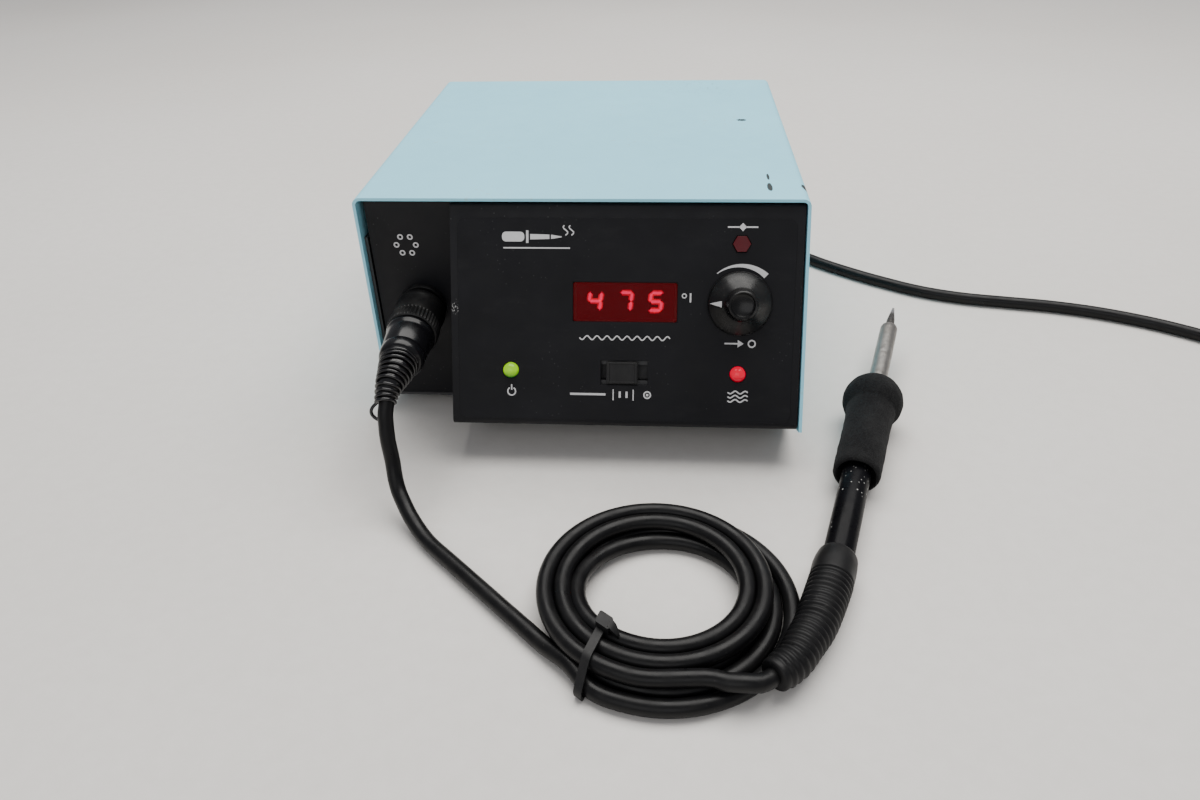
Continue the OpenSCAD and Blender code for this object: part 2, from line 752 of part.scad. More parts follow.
module iron_cord_lead() {
    color("#1a1a1a") place() cord(lead_pts, cord_d);
}

module iron_cord_tail() {
    color("#1a1a1a") place() cord(tail_pts, cord_d);
}

module iron_cord_coil() {
    color("#1a1a1a") place() translate([coil_at.x, coil_at.y, coil_lift]) rotate_extrude()
        polygon([[coil_in, 0], [coil_out, 0], [coil_out, coil_h], [coil_in, coil_h]]);
}

// A strap round a coil's bundle of turns
module strap(at, turn, inside, outside, height) {
    w = outside - inside + 2 * tie_t + 0.2;
    translate([at.x, at.y, 0]) rotate(turn) translate([(inside + outside) / 2, 0, 0]) difference() {
        translate([-w / 2, -tie_w / 2, 0.1]) cube([w, tie_w, height + 2 * tie_t + 0.2]);
        translate([tie_t - w / 2, -tie_w, 0.1 + tie_t]) cube([w - 2 * tie_t, 2 * tie_w, height + 0.2]);
    }
}

module coil_tie() {
    color("black") place() strap(coil_at, tie_turn, coil_in, coil_out, coil_h);
}

// ---- Mains lead ----

module mains_cord() {
    color("#1a1a1a") place() cord(mains_pts, mains_d);
}

module mains_tail() {
    color("#1a1a1a") place() cord(mains_tail_pts, mains_d);
}

module mains_coil() {
    color("#1a1a1a") place() translate([mains_coil_at.x, mains_coil_at.y, coil_lift]) rotate_extrude() polygon([
        [mains_coil_in, 0], [mains_coil_out, 0], [mains_coil_out, mains_coil_h], [mains_coil_in, mains_coil_h]
    ]);
}

module mains_tie() {
    color("black") place() strap(mains_coil_at, mains_tie_turn, mains_coil_in, mains_coil_out, mains_coil_h);
}

module mains_plug() {
    color("#181818") place() translate([mains_tail_pts[4].x, plug_y, plug_z]) rotate([-90, 0, 0]) {
        rotate_extrude() polygon([[0, 0], [4.2, 0], [5.6, 14], [8, 17], [0, 17]]);
        translate([0, 0, 16]) linear_extrude(23) polygon(rounded(25, 22.6, 6));
    }
}

module mains_blades() {
    color("goldenrod") place() translate([mains_tail_pts[4].x, plug_y + 39, plug_z]) {
        for (x = [-6.35, 6.35]) translate([x - 0.75, 0, 0.2]) cube([1.5, 16, 6.3]);
        translate([0, 0, -6]) rotate([-90, 0, 0]) cylinder(h = 19, r = 2.4);
    }
}

cover();
base_pan();
rear_panel();
recess_panel();
console_panel();
panel_overlay();
foot(0);  // foot_1
foot(1);  // foot_2
foot(2);  // foot_3
foot(3);  // foot_4
cover_screws();
chassis_screws();
display_window();
display_module();
display_digits();
display_board();
led(power_at, "yellowgreen");  // power_led
led(heater_at, "red");  // heater_led
set_led();
knob();
pot_shaft();
pull_collar();
pot_body();
pot_nut();
switch_body();
switch_slider();
iron_socket();
socket_nut();
main_board();
standoffs();
board_components();
heatsink();
transformer_core();
transformer_coil();
transformer_bracket();
power_switch_body();
power_rocker();
fuse_holder();
fuse_cap();
ground_jack();
cord_bushing();
solder_tip();
tip_barrel();
handle_tube();
foam_grip();
handle_socket();
cord_boot();
plug_body();
plug_ring();
plug_spring();
iron_cord_lead();
iron_cord_coil();
iron_cord_tail();
coil_tie();
mains_cord();
mains_coil();
mains_tail();
mains_tie();
mains_plug();
mains_blades();
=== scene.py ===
"""A bench soldering station: turquoise sheet-steel cover, sloped black console with a red
display, plug-in iron with a foam grip, its tied cord, and the mains lead wound for storage.

Places are millimetres from the middle of the cover's front edge, turned into the frame's
metres by HOUSING. On the console, places are (across, down the slope, out of the face)."""

import json
import math

import bmesh
import bpy
from mathutils import Matrix, Vector, noise

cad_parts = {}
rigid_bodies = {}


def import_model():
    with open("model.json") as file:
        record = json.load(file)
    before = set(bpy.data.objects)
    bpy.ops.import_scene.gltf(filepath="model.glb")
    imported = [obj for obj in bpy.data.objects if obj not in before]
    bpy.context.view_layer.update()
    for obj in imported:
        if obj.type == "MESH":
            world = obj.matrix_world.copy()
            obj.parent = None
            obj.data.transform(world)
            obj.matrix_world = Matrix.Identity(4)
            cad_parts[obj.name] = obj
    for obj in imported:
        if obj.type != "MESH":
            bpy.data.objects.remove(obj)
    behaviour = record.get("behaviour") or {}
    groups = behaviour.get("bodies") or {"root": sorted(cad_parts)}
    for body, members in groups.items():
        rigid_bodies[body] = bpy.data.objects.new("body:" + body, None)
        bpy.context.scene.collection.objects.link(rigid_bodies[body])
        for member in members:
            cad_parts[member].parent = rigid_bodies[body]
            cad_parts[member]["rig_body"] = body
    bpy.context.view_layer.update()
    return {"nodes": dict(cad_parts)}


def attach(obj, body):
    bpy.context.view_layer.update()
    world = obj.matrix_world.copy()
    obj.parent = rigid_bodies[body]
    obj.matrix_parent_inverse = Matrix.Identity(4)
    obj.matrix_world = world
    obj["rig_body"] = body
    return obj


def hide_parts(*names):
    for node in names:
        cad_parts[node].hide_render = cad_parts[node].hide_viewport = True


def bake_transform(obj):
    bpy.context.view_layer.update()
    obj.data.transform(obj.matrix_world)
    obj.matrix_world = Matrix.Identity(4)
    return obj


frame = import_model()

MM = 0.001

# ---- The frame of the part ----

COVER_W, COVER_TOP = 170, 95
SLOPE_Z = 92
LEAN = math.radians(25)
BALL = Vector((117.2, -6.5, 12.2))
IRON_YAW, IRON_RISE = math.radians(72.7), math.radians(3.4)
TIP_REACH = 75
SOCKET = Vector((-64.2, 3, 49))
DROOP = math.radians(4.5)
REAR_Y = 167
RIGHT_X = BALL.x + TIP_REACH * math.cos(IRON_RISE) * math.cos(IRON_YAW) + 0.8
MID_X = (RIGHT_X - COVER_W / 2 - 1.8) / 2
MID_Y = 15

HOUSING = Matrix.Scale(MM, 4) @ Matrix.Translation((-MID_X, -MID_Y, 0))
FACE = HOUSING @ Matrix.Translation((0, 0, SLOPE_Z)) @ Matrix.Rotation(math.pi / 2 - LEAN, 4, "X")
IRON = (
    HOUSING
    @ Matrix.Translation(BALL)
    @ Matrix.Rotation(IRON_YAW, 4, "Z")
    @ Matrix.Rotation(math.pi / 2 - IRON_RISE, 4, "Y")
)
PLUG = HOUSING @ Matrix.Translation((SOCKET.x, 1, SOCKET.z)) @ Matrix.Rotation(math.pi / 2 + DROOP, 4, "X")
REAR = HOUSING @ Matrix.Translation((0, REAR_Y, 0)) @ Matrix.Rotation(-math.pi / 2, 4, "X")
IRON_AXIS = (IRON.to_3x3() @ Vector((0, 0, 1))).normalized()


def at(x, y, z):
    return HOUSING @ Vector((x, y, z))


# ---- Camera ----


def add_camera():
    yaw, pitch, roll = (math.radians(a) for a in (-4.6256, 33.8718, -1.5231))
    forward = Vector((math.sin(yaw) * math.cos(pitch), math.cos(yaw) * math.cos(pitch), -math.sin(pitch)))
    level = Vector((math.cos(yaw), -math.sin(yaw), 0))
    over = level.cross(forward)
    right = math.cos(roll) * level + math.sin(roll) * over
    up = -math.sin(roll) * level + math.cos(roll) * over
    camera = bpy.data.objects.new("camera", bpy.data.cameras.new("camera"))
    bpy.context.scene.collection.objects.link(camera)
    place = Matrix.Translation(at(31.04, -306.03, 212.41))
    camera.matrix_world = place @ Matrix((right, up, -forward)).transposed().to_4x4()
    camera.data.lens = 26.27
    camera.data.sensor_width = 36
    camera.data.clip_start = 0.01
    bpy.context.scene.camera = camera


add_camera()

# ---- Materials ----


class Look:
    """A material made of one shader, with the tools that give its surface detail."""

    def __init__(self, name, base, rough, metal=0.0, **sockets):
        self.material = bpy.data.materials.new(name)
        self.material.use_nodes = True
        self.tree = self.material.node_tree
        self.shader = self.tree.nodes["Principled BSDF"]
        self.base, self.rough = base, rough
        self.shader.inputs["Base Color"].default_value = (*base, 1)
        self.shader.inputs["Roughness"].default_value = rough
        self.shader.inputs["Metallic"].default_value = metal
        for key, value in sockets.items():
            self.shader.inputs[key.replace("_", " ")].default_value = value
        self.place = self.add("ShaderNodeTexCoord").outputs["Object"]

    def add(self, kind, links=(), **values):
        node = self.tree.nodes.new(kind)
        for key, value in values.items():
            setattr(node, key, value)
        for key, value in dict(links).items():
            self.plug(value, node.inputs[key])
        return node

    def plug(self, value, socket):
        if isinstance(value, bpy.types.NodeSocket):
            self.tree.links.new(value, socket)
        elif isinstance(value, tuple) and len(value) == 3 and socket.type == "RGBA":
            socket.default_value = (*value, 1)
        else:
            socket.default_value = value

    def math(self, operation, a, b=0.0):
        return self.add("ShaderNodeMath", {0: a, 1: b}, operation=operation).outputs[0]

    def stretched(self, x, y, z, turn=(0, 0, 0)):
        return self.add(
            "ShaderNodeMapping", {"Vector": self.place, "Scale": (x, y, z), "Rotation": turn}
        ).outputs[0]

    def noise(self, scale, detail=3.0, rough=0.5, place=None):
        links = {"Vector": place or self.place, "Scale": scale, "Detail": detail, "Roughness": rough}
        return self.add("ShaderNodeTexNoise", links).outputs["Fac"]

    def cells(self, scale, place=None, feature="F1"):
        links = {"Vector": place or self.place, "Scale": scale}
        return self.add("ShaderNodeTexVoronoi", links, feature=feature).outputs["Distance"]

    def span(self, value, low, high, to_low=0.0, to_high=1.0):
        links = {"Value": value, "From Min": low, "From Max": high, "To Min": to_low, "To Max": to_high}
        return self.add("ShaderNodeMapRange", links).outputs[0]

    def mix(self, share, a, b):
        node = self.add("ShaderNodeMix", data_type="RGBA")
        for key, value in ((0, share), (6, a), (7, b)):
            self.plug(value, node.inputs[key])
        return node.outputs[2]

    def along(self, axis):
        node = self.add("ShaderNodeVectorMath", {0: self.place, 1: tuple(axis)}, operation="DOT_PRODUCT")
        return node.outputs["Value"]

    def near(self, point, radius, soft=0.3):
        """1 within radius of a point in millimetres, and 0 outside."""
        node = self.add("ShaderNodeVectorMath", {0: self.place, 1: tuple(at(*point))}, operation="DISTANCE")
        return self.span(node.outputs["Value"], radius * MM, radius * (1 - soft) * MM)

    def bump(self, height, strength, distance=0.0002):
        links = {"Height": height, "Strength": strength, "Distance": distance}
        if self.shader.inputs["Normal"].is_linked:
            links["Normal"] = self.shader.inputs["Normal"].links[0].from_socket
        normal = self.add("ShaderNodeBump", links).outputs[0]
        self.tree.links.new(normal, self.shader.inputs["Normal"])

    def colour(self, value):
        self.plug(value, self.shader.inputs["Base Color"])

    def roughness(self, value):
        self.plug(value, self.shader.inputs["Roughness"])

    def shades(self, amount, scale=60.0, detail=4.0):
        dark = tuple(c * (1 - amount) for c in self.base)
        light = tuple(min(1, c * (1 + amount)) for c in self.base)
        return self.mix(self.span(self.noise(scale, detail), 0.3, 0.7), dark, light)

    def upward(self):
        """1 where the surface faces up."""
        normal = self.add("ShaderNodeNewGeometry").outputs["Normal"]
        return self.span(self.add("ShaderNodeSeparateXYZ", {0: normal}).outputs["Z"], 0.2, 1.0)

    def speckle(self, scale, size, share=0.5):
        """1 on small specks, which only some places have."""
        specks = self.span(self.cells(scale), size, size * 0.6)
        return self.math("MULTIPLY", specks, self.span(self.noise(scale / 14, 2), share, share + 0.06))


def plain(
    name, base, rough, metal=0.0, mottle=0.12, grain=2200.0, depth=0.12, vary=0.08, dust=0.0, **sockets
):
    """A look with the variation that every used surface has: shades, grain, uneven gloss, dust."""
    look = Look(name, base, rough, metal, **sockets)
    colour = look.shades(mottle)
    if dust:
        settled = look.math(
            "MULTIPLY", look.span(look.noise(170, 6, 0.65), 0.42, 0.8, 0, dust), look.upward()
        )
        colour = look.mix(settled, colour, (0.42, 0.4, 0.36))
        flecks = look.speckle(520, 0.16, 0.52)
        colour = look.mix(look.math("MULTIPLY", flecks, min(1, dust * 2.5)), colour, (0.3, 0.29, 0.27))
    look.colour(colour)
    look.roughness(look.span(look.noise(190, 4), 0.3, 0.7, max(0.04, rough - vary), min(1, rough + vary)))
    look.bump(look.noise(grain, 2), depth, 0.0001)
    return look


def cover_paint():
    look = Look("cover_paint", (0.32, 0.74, 0.9), 0.42, Specular_IOR_Level=0.3)
    colour = look.shades(0.025, 14)
    scuffs = look.span(
        look.noise(330, 8, 0.75, look.stretched(1.6, 0.5, 1, (0, 0, 0.5))), 0.56, 0.66, 0, 0.5
    )
    area = look.near((47, 157, COVER_TOP), 24, 0.7)
    colour = look.mix(look.math("MULTIPLY", scuffs, area), colour, (0.22, 0.4, 0.45))
    wear = look.math(
        "MULTIPLY", look.span(look.noise(420, 5), 0.6, 0.68), look.span(look.noise(30, 2), 0.56, 0.62)
    )
    colour = look.mix(look.math("MULTIPLY", wear, 0.35), colour, (0.42, 0.58, 0.6))
    edge = look.math("MULTIPLY", look.noise(1500, 3), 0.0022)
    chips = []
    spots = (
        ((71.2, 23.5, 95), 3.4, 0.16), ((70.9, 12.5, 95), 4.2, 0.24), ((66.1, 97.9, 95), 1.5, 1.4),
        ((85, 13.5, 94), 3.2, 0.8)
    )
    for place, radius, squeeze in spots:
        offset = look.add(
            "ShaderNodeVectorMath", {0: look.place, 1: tuple(at(*place))}, operation="SUBTRACT"
        ).outputs[0]
        squeezed = look.add(
            "ShaderNodeVectorMath", {0: offset, 1: (1 / squeeze, 1, 1)}, operation="MULTIPLY"
        ).outputs[0]
        distance = look.add("ShaderNodeVectorMath", {0: squeezed}, operation="LENGTH").outputs["Value"]
        chips.append(look.span(look.math("ADD", distance, edge), radius * MM + 0.0012, radius * MM + 0.0009))
    chip = chips[0]
    for other in chips[1:]:
        chip = look.math("MAXIMUM", chip, other)
    look.colour(look.mix(chip, colour, (0.035, 0.045, 0.045)))
    look.roughness(look.span(look.noise(120, 5), 0.3, 0.7, 0.38, 0.48))
    look.bump(look.noise(750, 3), 0.09, 0.00025)
    look.bump(look.math("MULTIPLY", chip, -1.0), 0.5, 0.0002)
    return look


def console_paint():
    look = Look("console_paint", (0.0062, 0.0064, 0.0082), 0.5, Specular_IOR_Level=0.2)
    colour = look.shades(0.2, 40)
    x, s = -45.2, 37.6
    spot = (x, -s * math.sin(LEAN) + 0.4, SLOPE_Z - s * math.cos(LEAN))
    flake = look.math("MULTIPLY", look.near(spot, 3.4, 0.3), look.span(look.noise(1300, 4, 0.7), 0.55, 0.6))
    colour = look.mix(flake, colour, (0.45, 0.45, 0.44))
    lint = look.speckle(420, 0.13, 0.55)
    look.colour(look.mix(look.math("MULTIPLY", lint, 0.25), colour, (0.12, 0.12, 0.12)))
    look.roughness(look.span(look.noise(160, 4), 0.3, 0.7, 0.42, 0.56))
    look.bump(look.noise(2600, 2), 0.22, 0.0001)
    return look


def overlay_film():
    look = Look("overlay_film", (0.0062, 0.0064, 0.0082), 0.56, Specular_IOR_Level=0.18)
    colour = look.shades(0.22, 70, 6)
    smear = look.span(look.noise(90, 7, 0.7, look.stretched(0.6, 1.6, 1.6)), 0.55, 0.72, 0, 0.45)
    colour = look.mix(smear, colour, (0.013, 0.013, 0.015))
    lint = look.speckle(520, 0.12, 0.54)
    look.colour(look.mix(look.math("MULTIPLY", lint, 0.25), colour, (0.12, 0.12, 0.12)))
    look.roughness(look.span(look.noise(140, 5), 0.3, 0.7, 0.48, 0.64))
    look.bump(look.cells(2600), 0.1, 0.00008)
    return look


def foam():
    look = Look(
        "foam", (0.011, 0.0112, 0.0115), 0.95, Specular_IOR_Level=0.12, Sheen_Weight=0.03,
        Sheen_Roughness=0.5
    )
    pores = look.cells(1900)
    colour = look.mix(look.span(pores, 0.15, 0.55), (0.018, 0.0185, 0.019), (0.006, 0.006, 0.0065))
    worn = look.span(look.noise(120, 5), 0.45, 0.75, 0, 0.5)
    look.colour(look.mix(worn, colour, (0.022, 0.022, 0.022)))
    look.bump(pores, 0.7, 0.0003)
    look.bump(look.noise(700, 4), 0.35, 0.0004)
    return look


def handle_gloss():
    look = Look("handle_gloss", (0.004, 0.004, 0.005), 0.3, Specular_IOR_Level=0.08)
    specks = look.speckle(600, 0.2, 0.5)
    middle = look.near(tuple(BALL - 68 * Vector((0.2974, 0.9529, 0.059))), 24, 0.6)
    look.colour(look.mix(look.math("MULTIPLY", specks, middle), look.shades(0.2), (0.5, 0.5, 0.48)))
    look.roughness(look.span(look.noise(400, 6, 0.7), 0.35, 0.7, 0.24, 0.4))
    look.bump(look.noise(900, 3), 0.06, 0.0001)
    return look


def barrel_steel():
    look = Look("barrel_steel", (0.34, 0.33, 0.31), 0.38, 1.0)
    reach = look.along(IRON_AXIS)
    start = (IRON @ Vector((0, 0, 0))).dot(IRON_AXIS)
    heat = look.span(reach, start + 0.04, start + 0.06)
    stain = look.span(look.noise(260, 6, 0.7), 0.4, 0.7)
    colour = look.mix(look.math("MULTIPLY", stain, 0.5), (0.36, 0.35, 0.33), (0.2, 0.18, 0.155))
    look.colour(look.mix(look.math("MULTIPLY", heat, 0.4), colour, (0.2, 0.17, 0.15)))
    look.roughness(look.span(look.noise(500, 5), 0.3, 0.7, 0.3, 0.5))
    turning = look.add("ShaderNodeCombineXYZ", {0: look.math("MULTIPLY", reach, 3200.0)}).outputs[0]
    look.bump(look.noise(1.0, 2, 0.5, turning), 0.12, 0.00008)
    return look


def tip_metal():
    look = Look("tip_metal", (0.2, 0.195, 0.19), 0.35, 1.0)
    start = (IRON @ Vector((0, 0, 0))).dot(IRON_AXIS)
    tinned = look.span(look.along(IRON_AXIS), start + 0.0685, start + 0.071)
    burnt = look.span(look.noise(900, 6, 0.7), 0.4, 0.62)
    colour = look.mix(burnt, (0.19, 0.18, 0.17), (0.06, 0.055, 0.05))
    look.colour(look.mix(look.math("MULTIPLY", tinned, 0.7), colour, (0.6, 0.6, 0.6)))
    look.roughness(look.span(look.noise(900, 4), 0.3, 0.7, 0.25, 0.5))
    look.bump(look.noise(1600, 4), 0.25, 0.0001)
    return look


def lamp(name, top, bottom, strength, centre_z):
    """A lit lens, with a painted highlight that makes it brighter towards its top."""
    look = Look(name, top, 0.22, Specular_IOR_Level=0.35)
    height = look.add("ShaderNodeSeparateXYZ", {0: look.place}).outputs["Z"]
    cloud = look.math("MULTIPLY", look.noise(700, 2), 0.0012)
    # painted highlight: the colour runs from the darker bottom colour up to the top colour around the lens's
    # middle height
    share = look.span(look.math("ADD", height, cloud), centre_z * MM - 0.0016, centre_z * MM + 0.0012)
    colour = look.mix(share, bottom, top)
    look.colour(look.mix(0.75, colour, (0.0, 0.0, 0.0)))
    look.plug(colour, look.shader.inputs["Emission Color"])
    look.shader.inputs["Emission Strength"].default_value = strength
    look.bump(look.noise(1800, 2), 0.05, 0.0001)
    return look


def glow(name, base, strength, vary=0.25):
    look = Look(name, base, 0.4)
    colour = look.shades(vary, 900, 2)
    look.colour(colour)
    look.plug(colour, look.shader.inputs["Emission Color"])
    look.shader.inputs["Emission Strength"].default_value = strength
    return look


def window_film():
    look = Look("window_film", (0.03, 0.0002, 0.001), 0.3, Alpha=0.4, Specular_IOR_Level=0.1)
    look.colour(look.shades(0.15, 200))
    look.roughness(look.span(look.noise(300, 4), 0.3, 0.7, 0.24, 0.4))
    # painted glow: the faint red emission stands for the digits' light in the film, which is no lamp itself
    look.shader.inputs["Emission Color"].default_value = (1.0, 0.0, 0.02, 1)
    look.shader.inputs["Emission Strength"].default_value = 0.1
    return look


def floor_look():
    look = Look("floor_look", (0.74, 0.71, 0.67), 0.62, Specular_IOR_Level=0.3)
    colour = look.mix(look.span(look.noise(2.2, 5), 0.3, 0.7), (0.7, 0.675, 0.64), (0.77, 0.75, 0.72))
    colour = look.mix(look.span(look.noise(160, 6, 0.6), 0.3, 0.75, 0, 0.25), colour, (0.6, 0.57, 0.53))
    look.colour(colour)
    look.bump(look.noise(420, 5, 0.6), 0.16, 0.0005)
    return look


COVER = cover_paint()
CONSOLE = console_paint()
OVERLAY = overlay_film()
FOAM = foam()
HANDLE = handle_gloss()
BARREL = barrel_steel()
TIP = tip_metal()
WINDOW = window_film()
INK = plain("white_ink", (0.62, 0.62, 0.63), 0.55, mottle=0.06, depth=0.08)
STEEL = plain("screw_steel", (0.62, 0.62, 0.61), 0.28, 1.0, mottle=0.1, depth=0.1)
BRIGHT = plain("bright_steel", (0.5, 0.5, 0.5), 0.35, 1.0, mottle=0.12, depth=0.15)
DARK_STEEL = plain("dark_steel", (0.03, 0.031, 0.034), 0.5, mottle=0.15, grain=1600, depth=0.2, dust=0.15)
RUBBER = plain(
    "rubber", (0.005, 0.005, 0.0055), 0.46, mottle=0.15, depth=0.15, dust=0.015, Specular_IOR_Level=0.2
)
MOULDED = plain(
    "moulded_black", (0.006, 0.006, 0.0065), 0.42, mottle=0.15, depth=0.14, dust=0.04,
    Specular_IOR_Level=0.28
)
GLOSSY = plain(
    "gloss_black", (0.004, 0.004, 0.005), 0.22, mottle=0.15, grain=1200, depth=0.06, vary=0.08,
    Specular_IOR_Level=0.28
)
KNOB_LOOK = plain(
    "knob_black", (0.005, 0.005, 0.0055), 0.3, mottle=0.2, grain=1500, depth=0.08, vary=0.1, dust=0.04,
    Specular_IOR_Level=0.28
)
CORD = plain(
    "cord_rubber", (0.0038, 0.0038, 0.0043), 0.36, mottle=0.2, grain=1500, depth=0.1, vary=0.1, dust=0.015,
    Specular_IOR_Level=0.2
)
SPRING = plain("spring_black", (0.004, 0.004, 0.005), 0.2, mottle=0.2, grain=1500, depth=0.08)
TIE = plain(
    "tie_black", (0.006, 0.006, 0.0065), 0.5, mottle=0.15, depth=0.15, dust=0.03, Specular_IOR_Level=0.3
)
BOARD = plain("board_green", (0.02, 0.12, 0.05), 0.4, mottle=0.15, dust=0.1)
COMPONENT = plain("component", (0.02, 0.02, 0.022), 0.5, mottle=0.2)
SINK = plain("sink_black", (0.03, 0.03, 0.034), 0.45, 0.6, mottle=0.15)
CORE = plain("core_steel", (0.22, 0.22, 0.23), 0.5, 1.0, mottle=0.2)
WRAP = plain("coil_wrap", (0.6, 0.4, 0.08), 0.45, mottle=0.12)
BRASS = plain("brass", (0.7, 0.48, 0.18), 0.3, 1.0, mottle=0.12)
IVORY = plain("ivory", (0.6, 0.55, 0.42), 0.5, mottle=0.08)
DIGITS = glow("digit_light", (1.0, 0.008, 0.1), 2.8, 0.1)
HALO = glow("digit_halo", (0.8, 0.0, 0.03), 0.9, 0.3)
UNLIT = plain("digit_unlit", (0.05, 0.001, 0.003), 0.6, Specular_IOR_Level=0.1)
SET_LIGHT = plain("set_light", (0.075, 0.002, 0.006), 0.4, mottle=0.25, Specular_IOR_Level=0.25)
CAVITY = plain("display_dark", (0.03, 0.0005, 0.001), 0.6, Specular_IOR_Level=0.1)

# ---- Shapes ----


def flow(points, step=2.0):
    """Points close together on one smooth curve through the given ones, of any dimension."""
    found = []
    n = len(points)
    for i in range(n - 1):
        p0, p1, p2, p3 = (points[max(0, i - 1)], points[i], points[i + 1], points[min(n - 1, i + 2)])
        count = max(1, round((Vector(p2[:3]) - Vector(p1[:3])).length / step))
        for k in range(count):
            t = k / count
            found.append(
                tuple(
                    0.5 * (
                        2 * b + (c - a) * t
                        + (2 * a - 5 * b + 4 * c - d) * t * t
                        + (3 * b - a - 3 * c + d) * t**3
                    )
                    for a, b, c, d in zip(p0, p1, p2, p3)
                )
            )
    found.append(tuple(points[-1]))
    return found


def frames(points):
    """At each point of a path: its place, its direction, and two steady directions across it."""
    places = [Vector(p[:3]) for p in points]
    side = None
    found = []
    for i, place in enumerate(places):
        ahead = (places[min(i + 1, len(places) - 1)] - places[max(i - 1, 0)]).normalized()
        if side is None:
            side = ahead.cross(Vector((0, 0, 1)) if abs(ahead.z) < 0.9 else Vector((1, 0, 0)))
        side = (side - ahead * side.dot(ahead)).normalized()
        found.append((place, ahead, side, ahead.cross(side)))
    return found


def tube(points, radius, sides=24):
    """A closed tube along points. radius(i) is its radius at point i."""
    verts, faces = [], []
    rows = frames(points)
    for i, (place, _, side, over) in enumerate(rows):
        for k in range(sides):
            a = 2 * math.pi * k / sides
            verts.append(place + radius(i) * (math.cos(a) * side + math.sin(a) * over))
    for i in range(len(rows) - 1):
        for k in range(sides):
            j = (k + 1) % sides
            faces.append((i * sides + k, i * sides + j, (i + 1) * sides + j, (i + 1) * sides + k))
    faces.append(tuple(range(sides))[::-1])
    faces.append(tuple(range((len(rows) - 1) * sides, len(rows) * sides)))
    return verts, faces


def lathe(profile, sides=72, shape=None, closed=False):
    """A profile of (radius, height) turned round z. shape(radius, height, angle) may change the radius."""
    verts, faces, rows = [], [], []
    for r, z in profile:
        if r < 1e-6:
            rows.append([len(verts)])
            verts.append((0, 0, z))
            continue
        rows.append(range(len(verts), len(verts) + sides))
        for k in range(sides):
            a = 2 * math.pi * k / sides
            reach = shape(r, z, a) if shape else r
            verts.append((reach * math.cos(a), reach * math.sin(a), z))
    if closed:
        rows.append(rows[0])
    for low, high in zip(rows, rows[1:]):
        for k in range(sides):
            j = (k + 1) % sides
            if len(low) > 1 and len(high) > 1:
                faces.append((low[k], low[j], high[j], high[k]))
            elif len(low) > 1:
                faces.append((low[k], low[j], high[0]))
            elif len(high) > 1:
                faces.append((low[0], high[j], high[k]))
    return verts, faces


def prism(outline, low, high):
    """A flat outline of (x, y) with straight walls from low to high."""
    n = len(outline)
    verts = [(x, y, low) for x, y in outline] + [(x, y, high) for x, y in outline]
    faces = [tuple(range(n))[::-1], tuple(range(n, 2 * n))]
    faces += [(k, (k + 1) % n, n + (k + 1) % n, n + k) for k in range(n)]
    return verts, faces


def several(shapes):
    """Many shapes as one."""
    verts, faces = [], []
    for v, f in shapes:
        first = len(verts)
        verts += [tuple(p) for p in v]
        faces += [tuple(first + i for i in face) for face in f]
    return verts, faces


def moved(shape, matrix):
    return [matrix @ Vector(v) for v in shape[0]], shape[1]


def stroke(points, width):
    """The outline of a line of even width through (x, y) points."""
    left, right = [], []
    for i, (x, y) in enumerate(points):
        ax, ay = points[max(0, i - 1)]
        bx, by = points[min(len(points) - 1, i + 1)]
        size = math.hypot(bx - ax, by - ay)
        ox, oy = -(by - ay) / size * width / 2, (bx - ax) / size * width / 2
        left.append((x + ox, y + oy))
        right.append((x - ox, y - oy))
    return left + right[::-1]


def arc(x, y, radius, start, end, count=24):
    angles = [math.radians(start + (end - start) * i / count) for i in range(count + 1)]
    return [(x + radius * math.cos(a), y + radius * math.sin(a)) for a in angles]


def rounded(x, y, width, height, radius):
    w, h = width / 2 - radius, height / 2 - radius
    corners = ((w, h, 0), (-w, h, 90), (-w, -h, 180), (w, -h, 270))
    return [p for cx, cy, a in corners for p in arc(x + cx, y + cy, radius, a, a + 90, 6)]


def bevelled(o, width, angle=35, segments=2):
    b = o.modifiers.new("edges", "BEVEL")
    b.width = width * MM
    b.segments = segments
    b.limit_method = "ANGLE"
    b.angle_limit = math.radians(angle)
    b.harden_normals = True
    return o


def piece(name, shape, place, body, look, smooth=38, bevel=0.0, replaces=()):
    """A mesh in millimetres of the given place, as an object that rides on a body."""
    mesh = bpy.data.meshes.new(name)
    mesh.from_pydata([place @ Vector(v) for v in shape[0]], [], shape[1])
    bm = bmesh.new()
    bm.from_mesh(mesh)
    bmesh.ops.recalc_face_normals(bm, faces=bm.faces)
    bm.to_mesh(mesh)
    bm.free()
    mesh.shade_smooth()
    mesh.set_sharp_from_angle(angle=math.radians(smooth))
    mesh.materials.append(look.material)
    o = bpy.data.objects.new(name, mesh)
    bpy.context.scene.collection.objects.link(o)
    if bevel:
        bevelled(o, bevel)
    if body:
        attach(o, body)
    if replaces:
        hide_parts(*replaces)
    return o


def refined(node, width, look, angle=35, segments=2):
    """A CAD node's own shape with its edges rounded."""
    source = frame["nodes"][node]
    bm = bmesh.new()
    bm.from_mesh(source.data)
    bmesh.ops.remove_doubles(bm, verts=bm.verts, dist=2e-6)
    bmesh.ops.dissolve_limit(bm, angle_limit=math.radians(0.4), verts=bm.verts, edges=bm.edges)
    bm.verts.index_update()
    shape = ([v.co.copy() for v in bm.verts], [[v.index for v in f.verts] for f in bm.faces])
    bm.free()
    o = piece(node + "_finished", shape, Matrix.Identity(4), source["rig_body"], look, 30, 0, (node,))
    return bevelled(o, width, angle, segments)


# ---- The iron's cord ----

